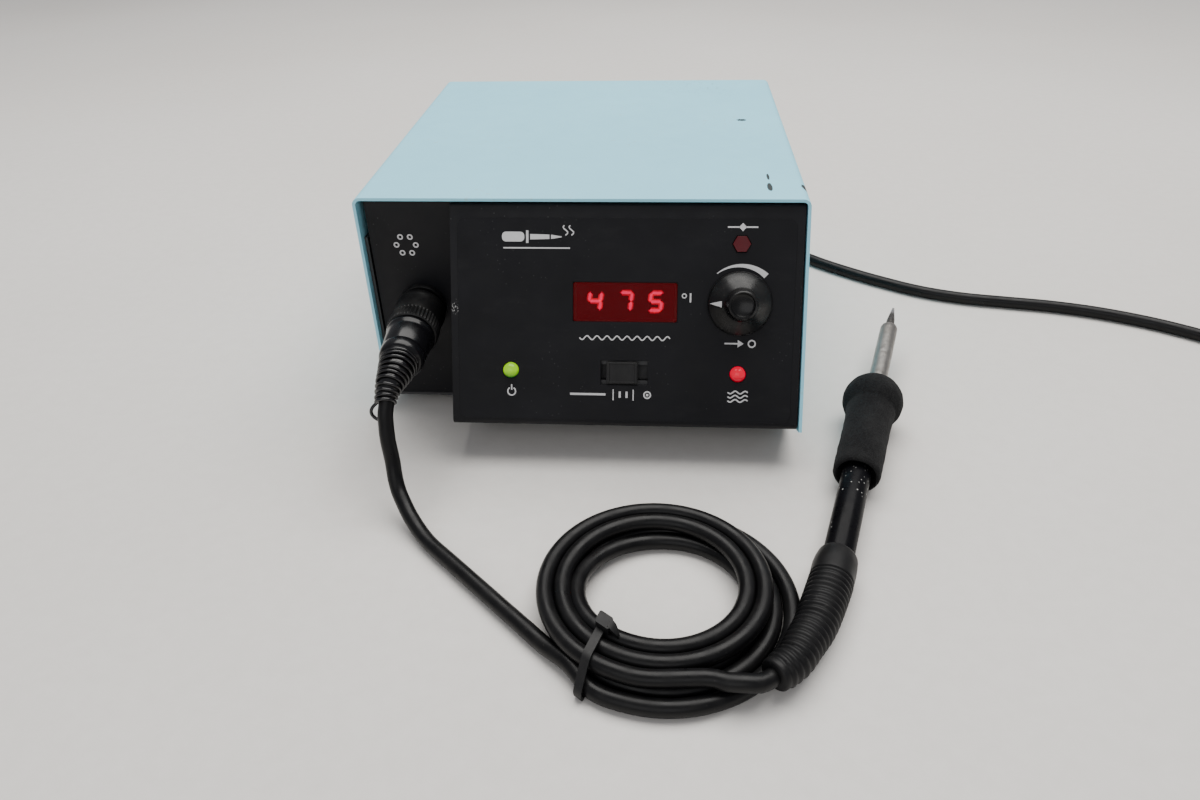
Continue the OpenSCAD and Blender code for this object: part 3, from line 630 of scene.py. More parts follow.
CORD_R, MAINS_R = 2.8, 2.9
COIL_AT, MAINS_COIL_AT = (33, -111), (346, 70)
LEAD = [
    (-65.5, -53, 40), (-66, -55.5, 36.5), (-66, -57, 33), (-65.5, -59.5, 27),
    (-64.5, -61.5, 20), (-63.5, -64.5, 14), (-62, -67.5, 10.5), (-60, -70.5, 8.5),
    (-56.5, -75.5, 6), (-52, -81, 4), (-47, -86.5, 3), (-38, -95, 3),
    (-29, -103.5, 3), (-20, -112, 3), (-11, -120.5, 3), (-2, -129, 3), (6, -136, 4),
]
TAIL = [(64, -142, 8), (61, -144, 8.5), (57, -144.5, 9), (52, -144.5, 9), (46, -143, 8.5)]
BOOT = [
    (91, -91, 7), (89, -96, 7), (86.5, -103.5, 7), (82, -115, 7.5),
    (79, -122, 7.5), (75, -129, 8), (71, -135.5, 8), (65, -141, 8),
]
COIL_START, COIL_END = 240, 280 + 5 * 360


def coil_turn(turn):
    """Distance from the coil's middle, and height: in on the bench for three turns, then out on top."""
    t = min(1, max(0, (turn - 2.55) / 0.4))
    rise = t * t * (3 - 2 * t)
    sway = (3 + 1.5 * rise) * (1 - math.cos(2 * math.pi * (turn - 0.12 * rise)))
    radius = 38.6 - 5.8 * turn if turn < 3 else 21.2 + 5.6 * (turn - 3)
    return radius + sway, 2.9 + 5.4 * rise


def coil_turns():
    angles = range(COIL_START, COIL_END, 16)
    return [round_coil(COIL_AT, angle, *coil_turn((angle - COIL_START) / 360)) for angle in angles]


def round_coil(centre, angle, radius, height):
    a = math.radians(angle)
    return (centre[0] + radius * math.cos(a), centre[1] + radius * math.sin(a), height)


def cord_piece(name, points, radius, look, replaces):
    curve = bpy.data.curves.new(name, "CURVE")
    curve.dimensions = "3D"
    curve.bevel_depth = radius * MM
    curve.bevel_resolution = 8
    curve.use_fill_caps = True
    spline = curve.splines.new("POLY")
    spline.points.add(len(points) - 1)
    for target, p in zip(spline.points, points):
        target.co = (*at(*p), 1)
    spline.use_smooth = True
    curve.materials.append(look.material)
    o = bpy.data.objects.new(name, curve)
    bpy.context.scene.collection.objects.link(o)
    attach(o, "housing")
    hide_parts(*replaces)
    return o


iron_route = LEAD + coil_turns() + TAIL[::-1] + [BOOT[-1], BOOT[-2]]
iron_points = flow(iron_route, 2.2)
iron_cord = cord_piece(
    "iron_cord", iron_points, CORD_R, CORD,
    ("iron_cord_lead", "iron_cord_coil", "iron_cord_tail")
)

# ---- The mains lead ----

MAINS_LEAD = [
    (-9, 190, 26), (-9, 196.5, 26), (-9, 206, 25.5), (-8.5, 216, 23), (-4.5, 227.5, 18), (3.5, 236, 12.5),
    (14.5, 240.5, 8), (26.5, 240.5, 5), (37, 235.5, 3.5), (48, 226, 3), (59, 213, 3),
    (70, 200, 3), (82, 186, 3), (94, 172, 3), (105, 159, 3), (118, 145, 3),
    (132, 133, 3), (147, 122, 3), (165, 111, 3), (184, 104, 3), (204, 100, 3),
    (225, 96, 3), (246, 89.5, 3), (266, 80, 3), (282, 69.5, 3), (293, 60.5, 3),
    (304, 50.5, 3), (312.5, 41.5, 3), (321, 32.5, 3),
]
MAINS_TAIL = [(392.5, 73, 9), (392, 83, 9.5), (391, 92, 10), (389.5, 101, 11), (388, 109.5, 11.5)]


def mains_radius(turn):
    """Out of the lead round and in on the bench for three turns, then round and out on top."""
    return 46.8 - 5.9 * turn if turn < 2.9 else 29.7 + 6.9 * max(0, turn - 3)


def mains_height(turn):
    t = min(1, max(0, (turn - 2.55) / 0.4))
    return 3 + 5.7 * t * t * (3 - 2 * t)


def mains_turns():
    turns = [(angle, (angle - 255) / 360) for angle in range(257, 2161, 18)]
    return [
        round_coil(MAINS_COIL_AT, angle, mains_radius(turn), mains_height(turn)) for angle, turn in turns
    ]


mains_points = flow(MAINS_LEAD + mains_turns() + MAINS_TAIL, 3.0)
mains_cord = cord_piece(
    "mains_lead", mains_points, MAINS_R, CORD, ("mains_cord", "mains_coil", "mains_tail")
)

PLUG_AT = HOUSING @ Matrix.Translation((388, 109, 11.5)) @ Matrix.Rotation(-math.pi / 2, 4, "X")


def mains_plug():
    """A moulded plug: ribbed tail, waisted body with grip ridges, flat front."""
    rows = []
    sides = 48
    levels = [
        (z, 4.3 + 1.2 * z / 14 + (0.45 if round(z / 1.4) % 2 else 0), 2.0)
        for z in [0.7 * i for i in range(21)]
    ]
    levels += [(15, 6.4, 2.1), (16.5, 8.4, 2.4), (18, 10.0, 3), (20, 11.2, 4)]
    levels += [
        (z, 12.2 - 1.1 * math.sin(math.pi * (z - 21) / 15) + (0.25 if i % 2 else 0), 4)
        for i, z in enumerate([21 + i for i in range(15)])
    ]
    levels += [(36.5, 12.3, 4), (38.3, 12.3, 4), (39, 11.6, 4)]
    for z, half, power in levels:
        flat = half * 0.9
        rows.append([
            (
                math.copysign(abs(math.cos(a)) ** (2 / power), math.cos(a)) * half,
                math.copysign(abs(math.sin(a)) ** (2 / power), math.sin(a)) * min(flat, 11.1),
                z,
            )
            for a in (2 * math.pi * k / sides for k in range(sides))
        ])
    verts = [v for row in rows for v in row]
    faces = [
        (i * sides + k, i * sides + (k + 1) % sides, (i + 1) * sides + (k + 1) % sides, (i + 1) * sides + k)
        for i in range(len(rows) - 1)
        for k in range(sides)
    ]
    faces += [tuple(range(sides))[::-1], tuple(range(len(verts) - sides, len(verts)))]
    return piece(
        "mains_plug_moulded", (verts, faces), PLUG_AT, "housing", RUBBER, 40, 0, ("mains_plug",)
    )


def mains_blades():
    blade = prism(rounded(0, 0, 1.5, 6.3, 0.3), 39, 54.2)
    pin = lathe([(0, 38.5), (2.4, 38.5), (2.4, 56.4), (1.8, 57.8), (0.7, 58), (0, 58)], 32)
    shapes = [moved(blade, Matrix.Translation((x, -3.3, 0))) for x in (-6.35, 6.35)]
    shapes.append(moved(pin, Matrix.Translation((0, 6, 0))))
    return piece(
        "mains_blades_cut", several(shapes), PLUG_AT, "housing", BRASS, 40, 0.25, ("mains_blades",)
    )


plug_moulding, blades = mains_plug(), mains_blades()


def bends_in(a, b, c):
    """Whether the way from a through b to c doesn't turn left."""
    return (b[0] - a[0]) * (c[1] - a[1]) <= (b[1] - a[1]) * (c[0] - a[0])


def hull(points):
    """The points' convex outline."""
    points = sorted(set(points))
    found = []
    for sweep in (points, points[::-1]):
        side = []
        for p in sweep:
            while len(side) > 1 and bends_in(side[-2], side[-1], p):
                side.pop()
            side.append(p)
        found += side[:-1]
    return found


def strap(name, centre, angle, strands, strand_r, width, lean, replaces):
    """A cable tie pulled round strands, each (distance from the coil's middle, height)."""
    rings = [
        hull([p for r, z in strands for p in arc(r, z, strand_r + gap, 0, 360, 36)]) for gap in (0.05, 1.05)
    ]
    inner, outer = (
        [(x, max(0.15 if i else 0.06, y)) for x, y in ring] for i, ring in enumerate(rings[::-1])
    )
    middle = Vector((sum(r for r, _ in strands) / len(strands), sum(z for _, z in strands) / len(strands)))
    n = 96
    loops = []
    for ring in (outer, inner):
        loop = []
        for k in range(n):
            a = 2 * math.pi * k / n
            ray = Vector((math.cos(a), math.sin(a)))
            reach = min(
                (
                    hit for p, q in zip(ring, ring[1:] + ring[:1])
                    if (hit := crossing(middle, ray, Vector(p), Vector(q)))
                ),
                default=10,
            )
            loop.append(middle + ray * reach)
        loops.append(loop)
    verts, faces = [], []
    for loop in loops:
        for across in (-width / 2, width / 2):
            verts += [(p.x, across, p.y) for p in loop]
    for a, b in ((0, 1), (1, 3), (3, 2), (2, 0)):
        for k in range(n):
            j = (k + 1) % n
            faces.append((a * n + k, a * n + j, b * n + j, b * n + k))
    top = max(z for _, z in strands) + strand_r
    inside = min(r for r, z in strands if z > 6) - 1
    head = moved(
        prism(rounded(0, 0, 4.4, 5.4, 0.8), 0, 2.8), Matrix.Translation((inside + 1.6, 0.6, top + 0.3))
    )
    tail_line = [(inside + 1.6, 2.4 + i, top + 2.2 - 0.2 * i * i) for i in range(5)]
    tail = []
    for i, (x, y, z) in enumerate(tail_line):
        half = 1.5 * (1 if i < 3 else 0.75 if i < 4 else 0.3)
        tail += [(x - half, y, z), (x + half, y, z), (x + half, y, z + 1.1), (x - half, y, z + 1.1)]
    tail_faces = [
        (4 * i + a, 4 * i + (a + 1) % 4, 4 * i + 4 + (a + 1) % 4, 4 * i + 4 + a)
        for i in range(4) for a in range(4)
    ]
    tail_faces += [(0, 1, 2, 3), (16, 17, 18, 19)]
    place = HOUSING @ Matrix.Translation((*centre, 0)) @ Matrix.Rotation(math.radians(angle), 4, "Z")
    verts, faces = several([(verts, faces), head, (tail, tail_faces)])
    shape = ([(x, y + lean * (x - middle.x - 3), z) for x, y, z in verts], faces)
    return piece(name, shape, place, "housing", TIE, 35, 0.3, replaces)


def crossing(start, ray, p, q):
    """How far along a ray it meets the line from p to q, or None."""
    edge = q - p
    across = ray.x * edge.y - ray.y * edge.x
    if abs(across) < 1e-9:
        return None
    gap = p - start
    t = (gap.x * edge.y - gap.y * edge.x) / across
    u = (gap.x * ray.y - gap.y * ray.x) / across
    return t if t > 0 and -1e-6 <= u <= 1 + 1e-6 else None


strap(
    "coil_strap", COIL_AT, 232, [coil_turn(n - (COIL_START - 232) / 360) for n in range(6)], CORD_R, 3.0,
    0.35, ("coil_tie",),
)
strap(
    "mains_strap", MAINS_COIL_AT, 135,
    [(mains_radius(n + 2 / 3), mains_height(n + 2 / 3)) for n in range(5)],
    MAINS_R + 0.1, 4.2, 0, ("mains_tie",),
)

# ---- The iron's plug ----


def coupling_ring():
    teeth = 44

    def knurl(r, z, a):
        if r < 9.4 or not 13.8 < z < 19.1:
            return r
        return r - 0.5 * (0.5 - 0.5 * math.cos(teeth * a)) ** 0.7

    profile = [
        (8.25, 2.2), (9.2, 2.2), (9.75, 2.45), (9.9, 3.0), (9.9, 4.6), (9.6, 5.2), (9.6, 9), (9.6, 12.6),
        (9.6, 13.2), (9.85, 13.5), (9.95, 14.0), (10.0, 14.6), (10.0, 16.5), (10.0, 18.3), (9.9, 18.9),
        (9.6, 19.3), (9.1, 19.6), (8.25, 19.6),
    ]
    return piece(
        "coupling_ring", lathe(profile, 44 * 8, knurl, True), PLUG, "coupling", MOULDED, 30,
        0, ("plug_ring",)
    )


def plug_shell():
    profile = [
        (0, -3), (5.6, -3), (6, -2.6), (6, 1.6), (8.2, 1.6), (8.2, 20.3), (9.0, 20.4), (9.3, 20.7),
        (9.35, 21.3), (9.15, 22.0), (8.9, 22.4), (8.8, 24), (8.35, 31.4), (8.05, 32.2), (8.05, 32.6),
        (8.3, 33.1), (8.4, 34.0), (8.35, 35.4), (8.15, 36.6), (7.75, 37.4), (7.1, 37.9), (0, 38),
    ]
    return piece(
        "plug_shell", lathe(profile, 96), PLUG, "housing", GLOSSY, 32, 0, ("plug_body",)
    )


SPRING_LINE = [
    (-64.5, -36.5, 46, 7.25), (-64.5, -41, 45.5, 6.8), (-65, -44.5, 44.5, 6.0), (-65.5, -48, 43.5, 5.2),
    (-66, -51, 41.5, 4.4), (-66, -54, 39.5, 3.95),
]


def wire_spring():
    """Black wire wound round the cord, in close turns that narrow to an open end."""
    line = flow(SPRING_LINE, 1.0)
    rows = frames(line)
    wire, turns, per_turn = 0.62, 10.5, 28
    coil = []
    total = int(turns * per_turn)
    for k in range(total + 1):
        u = k / total
        place_at = u * (len(rows) - 1)
        i = min(int(place_at), len(rows) - 2)
        t = place_at - i
        place, _, side, over = rows[i]
        place = place.lerp(rows[i + 1][0], t)
        radius = line[i][3] * (1 - t) + line[i + 1][3] * t - wire
        a = 2 * math.pi * turns * u + math.pi
        coil.append(place + radius * (math.cos(a) * side + math.sin(a) * over))
    last = coil[-1]
    open_end = [
        (-1.1, -0.4, -0.9), (-2.0, -0.8, -2.4), (-1.9, -1.1, -4.0), (-0.7, -1.5, -5.3), (0.8, -2.0, -5.9)
    ]
    coil += [Vector(p) for p in flow([tuple(last)] + [tuple(last + Vector(p)) for p in open_end], 0.5)][1:]
    wire_shape = tube([tuple(p) for p in coil], lambda i: wire, 12)
    core = flow([(x, y, z, r - 1.15) for x, y, z, r in SPRING_LINE], 2.0)
    core_shape = tube(core, lambda i: max(core[i][3], CORD_R + 0.08), 32)
    return piece(
        "wire_spring", several([wire_shape, core_shape]), HOUSING, "housing", SPRING, 50, 0,
        ("plug_spring",)
    )


coupling_ring()
plug_shell()
wire_spring()
refined("iron_socket", 0.25, MOULDED)

# ---- The iron ----


def foam_grip():
    ball_r, body_r = 11.8, 9.15
    join = math.pi - math.asin((body_r + 0.35) / ball_r)
    start = math.asin(4.3 / ball_r)
    profile = []
    for i in range(34):
        a = start + (join - start) * i / 33
        profile.append((ball_r * math.sin(a), ball_r * math.cos(a)))
    for i in range(1, 30):
        t = i / 29
        z = profile[33][1] * (1 - t) + -44.5 * t
        waist = 0.35 * math.sin(math.pi * min(1, t * 1.4))
        profile.append((body_r - 0.55 * t - waist * 0.5 + 0.35 * math.exp(-((t * 9) ** 2)), z))
    for i in range(1, 7):
        a = math.pi / 2 * i / 6
        profile.append((8.6 - 1.3 * (1 - math.cos(a)), -44.5 - 2.4 * math.sin(a)))
    profile += [
        (7.1, -46.6), (6.9, -45.6), (6.7, -42), (5.3, -40.5), (5.28, -20), (5.28, 0), (5.25, 9), (4.4, 9.2),
        (4.2, 10.4)
    ]

    def soft(r, z, a):
        if r < 7.2 and z < 9:
            return r
        point = Vector((math.cos(a) * r, math.sin(a) * r, z))
        return r + 0.16 * noise.noise(point * 0.35) + 0.07 * noise.noise(point * 1.4)

    o = piece(
        "foam_sleeve", lathe(profile, 112, soft, True), IRON, "iron", FOAM, 60, 0, ("foam_grip",)
    )
    return o


def tube_handle():
    profile = [(4, -88), (5.05, -88), (5.2, -87.6), (5.2, -49), (5.2, 8.4), (5, 8.8), (4, 8.8)]
    return piece(
        "handle_pipe", lathe(profile, 72, None, True), IRON, "iron", HANDLE, 40, 0,
        ("handle_tube",)
    )


def barrel():
    r = 3.75
    profile = [
        (0, -36), (2.4, -36), (2.4, 9.6), (r, 9.6), (r, 20), (r - 0.02, 30), (r, 40), (r, 50),
        (r - 0.03, 55), (r - 0.08, 56.8), (r - 0.3, 57.6), (r - 0.65, 58), (r - 1.1, 58.2), (2.48, 58.2),
        (2.48, 49.9), (0, 49.9),
    ]
    return piece(
        "tip_sleeve", lathe(profile, 72), IRON, "cartridge", BARREL, 32, 0, ("tip_barrel",)
    )


def chisel():
    """Round shank that narrows and flattens to a blade."""
    sides, rows = 48, []
    for i in range(40):
        z = 51 + 24 * i / 39
        step, taper = min(1, max(0, (z - 58.2) / 0.8)), min(1, max(0, (z - 59) / 5))
        radius = 2.38 - 0.5 * step - 0.08 * taper - 1.0 * max(0, (z - 64) / 11)
        flat = 2.38 if z < 64 else 1.8 + (0.42 - 1.8) * ((z - 64) / 11) ** 0.9
        rows.append([
            (radius * math.cos(a), max(-flat, min(flat, radius * math.sin(a))), z)
            for a in (2 * math.pi * k / sides for k in range(sides))
        ])
    verts = [v for row in rows for v in row]
    faces = [
        (i * sides + k, i * sides + (k + 1) % sides, (i + 1) * sides + (k + 1) % sides, (i + 1) * sides + k)
        for i in range(len(rows) - 1)
        for k in range(sides)
    ]
    faces += [tuple(range(sides))[::-1], tuple(range(len(verts) - sides, len(verts)))]
    return piece(
        "chisel_tip", (verts, faces), IRON, "cartridge", TIP, 30, 0, ("solder_tip",)
    )


def ribbed_boot():
    """Soft boot: a smooth collar, then ribs that follow the cord's bend."""
    sizes = [6.5, 7.15, 7.1, 6.85, 6.5, 6.1, 5.7, 5.35]
    line = flow([(*p, r) for p, r in zip(BOOT, sizes)], 0.34)
    distance = [0.0]
    for a, b in zip(line, line[1:]):
        distance.append(distance[-1] + (Vector(b[:3]) - Vector(a[:3])).length)
    end = distance[-1]

    def radius(i):
        d, r = distance[i], line[i][3]
        if d < 1.2:
            return r - 0.5 * (1 - d / 1.2) ** 2
        if d < 12:
            return r
        if d > end - 2:
            return r - 0.25 - 0.5 * max(0, (d - end + 0.8) / 0.8) ** 2
        return r + 0.12 - 0.62 * (0.5 + 0.5 * math.cos(2 * math.pi * (d - 12) / 2.25)) ** 1.6

    o = piece("ribbed_boot", tube(line, radius, 56), HOUSING, None, RUBBER, 60, 0, ("cord_boot",))
    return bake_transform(o)


foam_grip()
tube_handle()
barrel()
chisel()
ribbed_boot()

# ---- Housing ----

refined("cover", 0.35, COVER)
refined("console_panel", 0.3, CONSOLE)
refined("recess_panel", 0.3, CONSOLE)
refined("panel_overlay", 0.12, OVERLAY)
refined("base_pan", 0.25, DARK_STEEL)
refined("rear_panel", 0.3, DARK_STEEL)
for number in range(1, 5):
    refined(f"foot_{number}", 0.3, RUBBER)


def screw_head(sides=64, radius=2.8, height=1.8):
    """A pan head with a cross recess."""
    profile = [i / 24 for i in range(25)]
    verts, faces = [], []
    for t in profile:
        for k in range(sides):
            a = 2 * math.pi * k / sides
            x, y = radius * t * math.cos(a), radius * t * math.sin(a)
            z = height * (1 - 0.34 * t**4) - (0.25 if t == 1 else 0)
            arm = min(abs(x), abs(y))
            long = max(abs(x), abs(y))
            cut = min(1, max(0, (0.5 - arm) / 0.12)) * min(1, max(0, (1.55 - long) / 0.25))
            verts.append((x, y, z - 1.0 * cut))
    rows = len(profile)
    for i in range(rows - 1):
        for k in range(sides):
            j = (k + 1) % sides
            faces.append((i * sides + k, i * sides + j, (i + 1) * sides + j, (i + 1) * sides + k))
    edge = (rows - 1) * sides
    verts += [
        (radius * math.cos(2 * math.pi * k / sides), radius * math.sin(2 * math.pi * k / sides), 0)
        for k in range(sides)
    ]
    faces += [
        (edge + k, edge + (k + 1) % sides, edge + sides + (k + 1) % sides, edge + sides + k)
        for k in range(sides)
    ]
    faces.append(tuple(range(edge + sides, edge + 2 * sides))[::-1])
    return verts, faces


def cover_screw_heads():
    shapes = []
    for side in (-1, 1):
        for n, (y, z) in enumerate(((10, 70), (150, 11.5))):
            turn = Matrix.Rotation(side * math.pi / 2, 4, "Y")
            turn = turn @ Matrix.Rotation(0.4 + 1.1 * n + side, 4, "Z")
            place = Matrix.Translation((side * COVER_W / 2, y, z)) @ turn
            shapes.append(moved(screw_head(), place))
            shapes.append(moved(lathe([(0, -7), (1.2, -7), (1.45, -6.6), (1.45, 0.2), (0, 0.2)], 32), place))
    piece(
        "cover_screw_heads", several(shapes), HOUSING, "housing", STEEL, 34, 0,
        ("cover_screws",)
    )


cover_screw_heads()

# ---- Marks printed on the console ----

INK_LOW, INK_HIGH = -0.42, -0.34


def printed(name, outlines, look, low=INK_LOW, high=INK_HIGH, place=FACE, body="housing"):
    """Flat marks. Their outlines are (across, down the slope) on the console."""
    shapes = [prism([(x, -s) for x, s in outline], low, high) for outline in outlines]
    return piece(name, several(shapes), place, body, look, 30)


def ring_outline(x, s, outer, inner, start=0, end=360, count=40):
    return [
        stroke(
            arc(
                x, s, (outer + inner) / 2, start + (end - start) * k / 2,
                start + (end - start) * (k + 1) / 2, count // 2
            ),
            outer - inner
        )
        for k in range(2)
    ]


def wave(x, s, width, height, turns, thick):
    n = 14 * turns
    line = [
        (x - width / 2 + width * i / n, s + height / 2 * math.sin(2 * math.pi * turns * i / n))
        for i in range(n + 1)
    ]
    return stroke(line, thick)


def box_outline(x, s, width, height):
    return [
        (x - width / 2, s - height / 2), (x + width / 2, s - height / 2), (x + width / 2, s + height / 2),
        (x - width / 2, s + height / 2)
    ]


def dial_ramp():
    """The arc over the dial, which widens clockwise."""
    n = 40
    outer, inner = [], []
    for i in range(n + 1):
        a = math.radians(128 - 81 * i / n)
        t = i / n
        ro, ri = 14.0 + 1.0 * t, 13.7 - 0.9 * t
        outer.append((60.2 + ro * math.cos(a), 34.9 - ro * math.sin(a)))
        inner.append((60.2 + ri * math.cos(a), 34.9 - ri * math.sin(a)))
    return outer + inner[::-1]


def iron_mark(x, s):
    """A small drawing of an iron above its stand line."""
    grip = rounded(x - 8.6, s, 8.4, 3.6, 1.5)
    collar = box_outline(x - 3.3, s, 0.9, 4.6)
    rod = [(x - 2.2, s - 1.0), (x + 5, s - 0.8), (x + 5, s + 0.8), (x - 2.2, s + 1.0)]
    tip = [(x + 5.6, s - 0.8), (x + 9.6, s - 0.15), (x + 9.6, s + 0.15), (x + 5.6, s + 0.8)]
    rises = (0, 0.6, 1.2, 1.8, 2.4, 3.0, 3.6)
    smoke = [
        stroke([(x + 11 + 0.9 * math.sin(1.6 * t) + k * 2.2, s - 0.6 - t) for t in rises], 0.45)
        for k in (0, 1)
    ]
    return [grip, collar, rod, tip, *smoke, box_outline(x + 0.2, s + 4.1, 25, 0.5)]


white = [
    dial_ramp(),
    *iron_mark(-15.6, 11.0),
    *ring_outline(39.8, 32.3, 0.95, 0.55),
    box_outline(42.1, 33.0, 0.6, 3.4),
    wave(17.8, 48.3, 34, 1.5, 9, 0.45),
]
white += ring_outline(-25.2, 69.2, 1.75, 1.25, -60, 240) + [box_outline(-25.2, 67.6, 0.55, 2.1)]
white += [wave(60.6, s, 7.5, 1.0, 2, 0.5) for s in (68.2, 69.8, 71.4)]
white += [
    box_outline(57.2, 7.1, 4.2, 0.55), box_outline(64.0, 7.1, 4.2, 0.55),
    [(60.6, 5.6), (62.0, 7.1), (60.6, 8.6), (59.2, 7.1)]
]
white += [
    box_outline(57.6, 49.8, 5.0, 0.55), [(60.0, 48.4), (62.2, 49.8), (60.0, 51.2)],
    *ring_outline(65.2, 49.8, 1.5, 1.0)
]
white += [box_outline(13.7, 69.9, 0.4, 4.2), box_outline(21.3, 69.9, 0.4, 4.2)]
white += [
    box_outline(4.0, 69.8, 13.5, 0.8), box_outline(16.2, 69.8, 0.8, 2.4), box_outline(18.8, 69.8, 0.8, 2.4)
]
white += ring_outline(26.6, 69.8, 1.5, 1.0) + [box_outline(26.6, 69.8, 0.9, 0.9)]
printed("console_marks", white, INK)


def socket_mark():
    """A plain sign for the iron's socket: the round row of its pins."""
    x, z, pins, spread = -67.6, 75.0, 6, 3.8
    turns = [2 * math.pi * k / pins for k in range(pins)]
    outlines = [
        o for a in turns for o in ring_outline(x + spread * math.cos(a), z + spread * math.sin(a), 1.15, 0.6)
    ]
    panel = HOUSING @ Matrix.Translation((0, SOCKET.y, 0)) @ Matrix.Rotation(math.pi / 2, 4, "X")
    shapes = [prism(outline, 0.02, 0.09) for outline in outlines]
    piece("socket_mark", several(shapes), panel, "housing", INK, 30)


socket_mark()

# ---- Display, lamps, dial and switches ----

DIGIT_W, DIGIT_H, STROKE, PITCH = 5.2, 7.5, 0.95, 11.5
LIT = ((0, 1, 1, 0, 0, 1, 1), (1, 1, 1, 0, 0, 0, 0), (1, 0, 1, 1, 0, 1, 1))


def bar_outline(x, y, length, thick, upright, slant):
    h = thick / 2
    shape = [
        (-length / 2, 0), (h - length / 2, h), (length / 2 - h, h), (length / 2, 0), (length / 2 - h, -h),
        (h - length / 2, -h)
    ]
    if upright:
        shape = [(-b, a) for a, b in shape]
    return [(x + a + slant * (y + b), y + b) for a, b in shape]


def digit_bars(thick, trim, wanted):
    """Outlines of the segments that are lit, or of those that aren't."""
    half_w, half_h = (DIGIT_W - STROKE) / 2, (DIGIT_H - STROKE) / 2
    spots = (
        (0, half_h, 0), (half_w, half_h / 2, 1), (half_w, -half_h / 2, 1), (0, -half_h, 0),
        (-half_w, -half_h / 2, 1), (-half_w, half_h / 2, 1), (0, 0, 0)
    )
    found = []
    for n, lit in enumerate(LIT):
        for on, (x, y, upright) in zip(lit, spots):
            if bool(on) == wanted:
                length = (half_h if upright else 2 * half_w) - trim
                bar = bar_outline(x, y, length, thick, upright, 0.12)
                found.append([(17.8 + (n - 1) * PITCH + a, 34.7 - b) for a, b in bar])
    return found


printed("digits_lit", digit_bars(STROKE, 0.25, True), DIGITS, -3.5, -3.2)
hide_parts("display_digits")
printed("digits_halo", digit_bars(STROKE * 2.3, -1.0, True), HALO, -3.62, -3.55)
printed("digits_unlit", digit_bars(STROKE, 0.25, False), UNLIT, -3.55, -3.3)
refined("display_window", 0.2, WINDOW)


def lens(name, x, s, look, node):
    profile = [(0, -9), (2.9, -9), (2.9, -0.6)] + [
        (2.9 * math.cos(a), -0.6 + 2.3 * math.sin(a)) for a in (math.pi / 2 * i / 14 for i in range(1, 15))
    ]
    profile[-1] = (0, 1.7)
    piece(
        name, lathe(profile, 48), FACE @ Matrix.Translation((x, -s, 0)), "housing", look, 45, 0,
        (node,)
    )


def face_z(s):
    return SLOPE_Z - s * math.cos(LEAN)


# Each lens carries a painted highlight: the first colour is its brighter top, the second its darker bottom.
lens(
    "power_lens", -25.5, 61.1,
    lamp("power_lamp", (0.34, 0.72, 0.0), (0.006, 0.08, 0.015), 0.9, face_z(61.1)), "power_led"
)
lens(
    "heater_lens", 60.4, 61.4, lamp("heater_lamp", (0.85, 0.0, 0.035), (0.3, 0.0, 0.012), 0.9, face_z(61.4)),
    "heater_led"
)
refined("set_led", 0.15, SET_LIGHT)

DIAL = FACE @ Matrix.Translation((60.2, -34.9, 0))


def skirt_height(r):
    return 7.4 - (r - 6.6) * 4.9 / 4.8


def dial_knob():
    profile = [
        (3, 4), (7.2, 4), (7.2, 0.5), (11.3, 0.5), (11.75, 0.75), (11.85, 1.2), (11.8, 1.9), (11.5, 2.35),
        (11.2, skirt_height(11.2)), (9, skirt_height(9)), (7.4, skirt_height(7.4)), (6.4, 7.75),
        (5.75, 8.5), (5.5, 9.6), (5.3, 14.6), (5.15, 15.3), (4.75, 15.6), (4.35, 15.45), (4.2, 15.0),
        (4.05, 13.6), (3.4, 13.2), (0, 13.2), (0, 12.1), (3, 12.1),
    ]
    piece(
        "dial_knob", lathe(profile, 120, None, True), DIAL, "dial", KNOB_LOOK, 32, 0,
        ("knob",)
    )
    n = 14
    verts = []
    for i in range(n + 1):
        r = 11.2 - 4.2 * i / n
        half = 0.04 + 1.15 * (1 - i / n)
        half = 1.2 - half
        for side in (-1, 1):
            verts.append((-r, side * half, skirt_height(r) + 0.09))
    for i in range(n + 1):
        for side in (0, 1):
            x, y, z = verts[2 * i + side]
            verts.append((x, y, z - 0.16))
    m = 2 * (n + 1)
    faces = []
    for i in range(n):
        a, b, c, d = 2 * i, 2 * i + 1, 2 * i + 3, 2 * i + 2
        faces += [(a, b, c, d), (m + d, m + c, m + b, m + a), (a, d, m + d, m + a), (b, m + b, m + c, c)]
    faces += [(0, m, m + 1, 1), (2 * n, 2 * n + 1, m + 2 * n + 1, m + 2 * n)]
    piece("dial_pointer", (verts, faces), DIAL, "dial", INK, 30)


def mode_cap():
    """The slide switch's cap, a shallow dish between two raised edges."""
    place = FACE @ Matrix.Translation((17.8 - 0.85, -61.5, 0))
    plate = prism(rounded(0, 0, 12, 8.3, 0.6), -1.85, -0.1)
    ridges = [prism(rounded(x, 0, 1.0, 7.6, 0.35), -0.3, 0.35) for x in (-5.2, 5.2)]
    rails = [prism(rounded(0, y, 10.2, 0.6, 0.25), -0.3, 0.12) for y in (-3.6, 3.6)]
    stem = prism(rounded(0, 0, 6, 4.4, 0.3), -6.6, -1.6)
    piece(
        "mode_cap", several([plate, *ridges, *rails, stem]), place, "slider", MOULDED, 30,
        0.15, ("switch_slider",)
    )


dial_knob()
mode_cap()
refined("pot_shaft", 0.15, BRIGHT)

# ---- Back of the housing ----


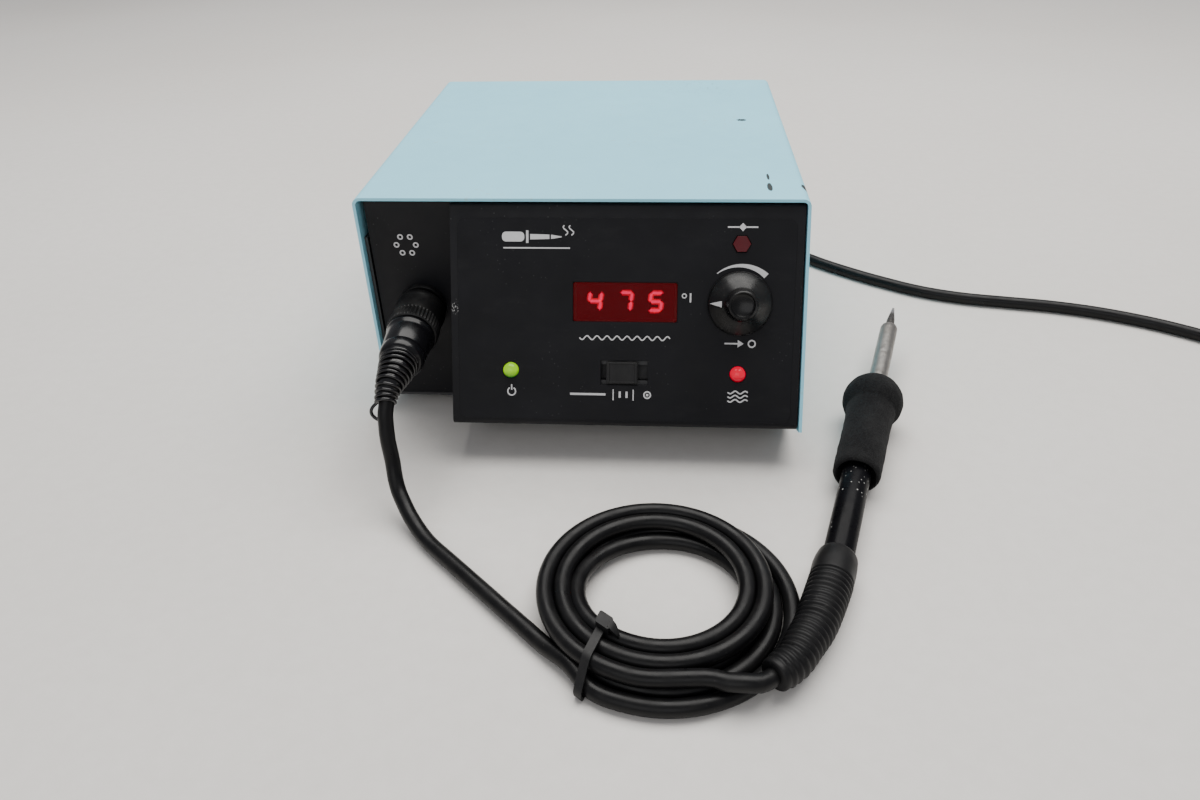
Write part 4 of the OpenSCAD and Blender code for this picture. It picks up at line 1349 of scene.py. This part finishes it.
def bushing():
    """Moulded strain relief with open ribs."""
    profile = [(0, -8), (6, -8), (6, 0), (7.9, 0), (8, 0.3), (8, 2.6), (7.6, 3.1)]
    for i in range(9):
        z = 4.0 + 2.75 * i
        r = 6.7 - 2.2 * i / 9
        profile += [
            (r - 0.9, z - 0.5), (r - 0.9, z + 0.35), (r, z + 0.65), (r - 0.1, z + 1.75), (r - 0.95, z + 2.0)
        ]
    profile += [(3.95, 29.2), (3.9, 30), (0, 30)]
    place = REAR @ Matrix.Translation((-9, -26, 0))
    piece(
        "ribbed_bushing", lathe(profile, 64), place, "housing", RUBBER, 35, 0.12, ("cord_bushing",)
    )


def rocker_marks():
    """A bar and a ring pressed into the rocker's two halves."""
    tilt = Matrix.Translation((-52, -48, -4)) @ Matrix.Rotation(math.radians(-10), 4, "X")
    place = REAR @ tilt
    shapes = [prism(box_outline(0, -6.2, 0.7, 3.6), 6.5, 6.9)] + [
        prism(outline, 6.5, 6.9) for outline in ring_outline(0, 6.2, 1.9, 1.3)
    ]
    piece("rocker_marks", several(shapes), place, "rocker", INK, 30)


bushing()
rocker_marks()
refined("power_switch_body", 0.35, MOULDED)
refined("power_rocker", 0.4, GLOSSY)
refined("fuse_holder", 0.25, MOULDED)
refined("fuse_cap", 0.3, MOULDED)
refined("ground_jack", 0.25, BRASS)

# ---- The nodes that stay as they are ----

STAYING = {
    "display_module": CAVITY, "display_board": BOARD, "chassis_screws": STEEL, "pull_collar": IVORY,
    "pot_body": DARK_STEEL,
    "pot_nut": STEEL, "switch_body": COMPONENT, "socket_nut": STEEL, "main_board": BOARD, "standoffs": BRASS,
    "board_components": COMPONENT, "heatsink": SINK, "transformer_core": CORE, "transformer_coil": WRAP,
    "transformer_bracket": BRIGHT, "handle_socket": IVORY,
}
for node, look in STAYING.items():
    frame["nodes"][node].data.materials.clear()
    frame["nodes"][node].data.materials.append(look.material)

# ---- Floor and light ----


def add_floor():
    mesh = bpy.data.meshes.new("floor")
    size = 6
    mesh.from_pydata(
        [(-size, -size, 0), (size, -size, 0), (size, size, 0), (-size, size, 0)], [], [(0, 1, 2, 3)]
    )
    mesh.materials.append(floor_look().material)
    floor = bpy.data.objects.new("floor", mesh)
    bpy.context.scene.collection.objects.link(floor)


def add_light(name, place, aim, size, power, colour):
    light = bpy.data.lights.new(name, "AREA")
    light.shape = "RECTANGLE"
    light.size, light.size_y = size
    light.energy = power
    light.color = colour
    o = bpy.data.objects.new(name, light)
    bpy.context.scene.collection.objects.link(o)
    o.location = place
    o.rotation_euler = (Vector(aim) - Vector(place)).to_track_quat("-Z", "Y").to_euler()


add_floor()
add_light("key", (0.1, 0.35, 1.25), (0, 0, 0), (1.5, 1.1), 31, (1.0, 0.98, 0.945))
add_light("front", (-0.3, -1.5, 0.9), (0, 0, 0.05), (1.6, 1.0), 7, (1.0, 0.99, 0.98))
world = bpy.data.worlds.new("world")
bpy.context.scene.world = world
world.use_nodes = True
world.node_tree.nodes["Background"].inputs["Color"].default_value = (0.93, 0.94, 1.0, 1)
world.node_tree.nodes["Background"].inputs["Strength"].default_value = 0.36
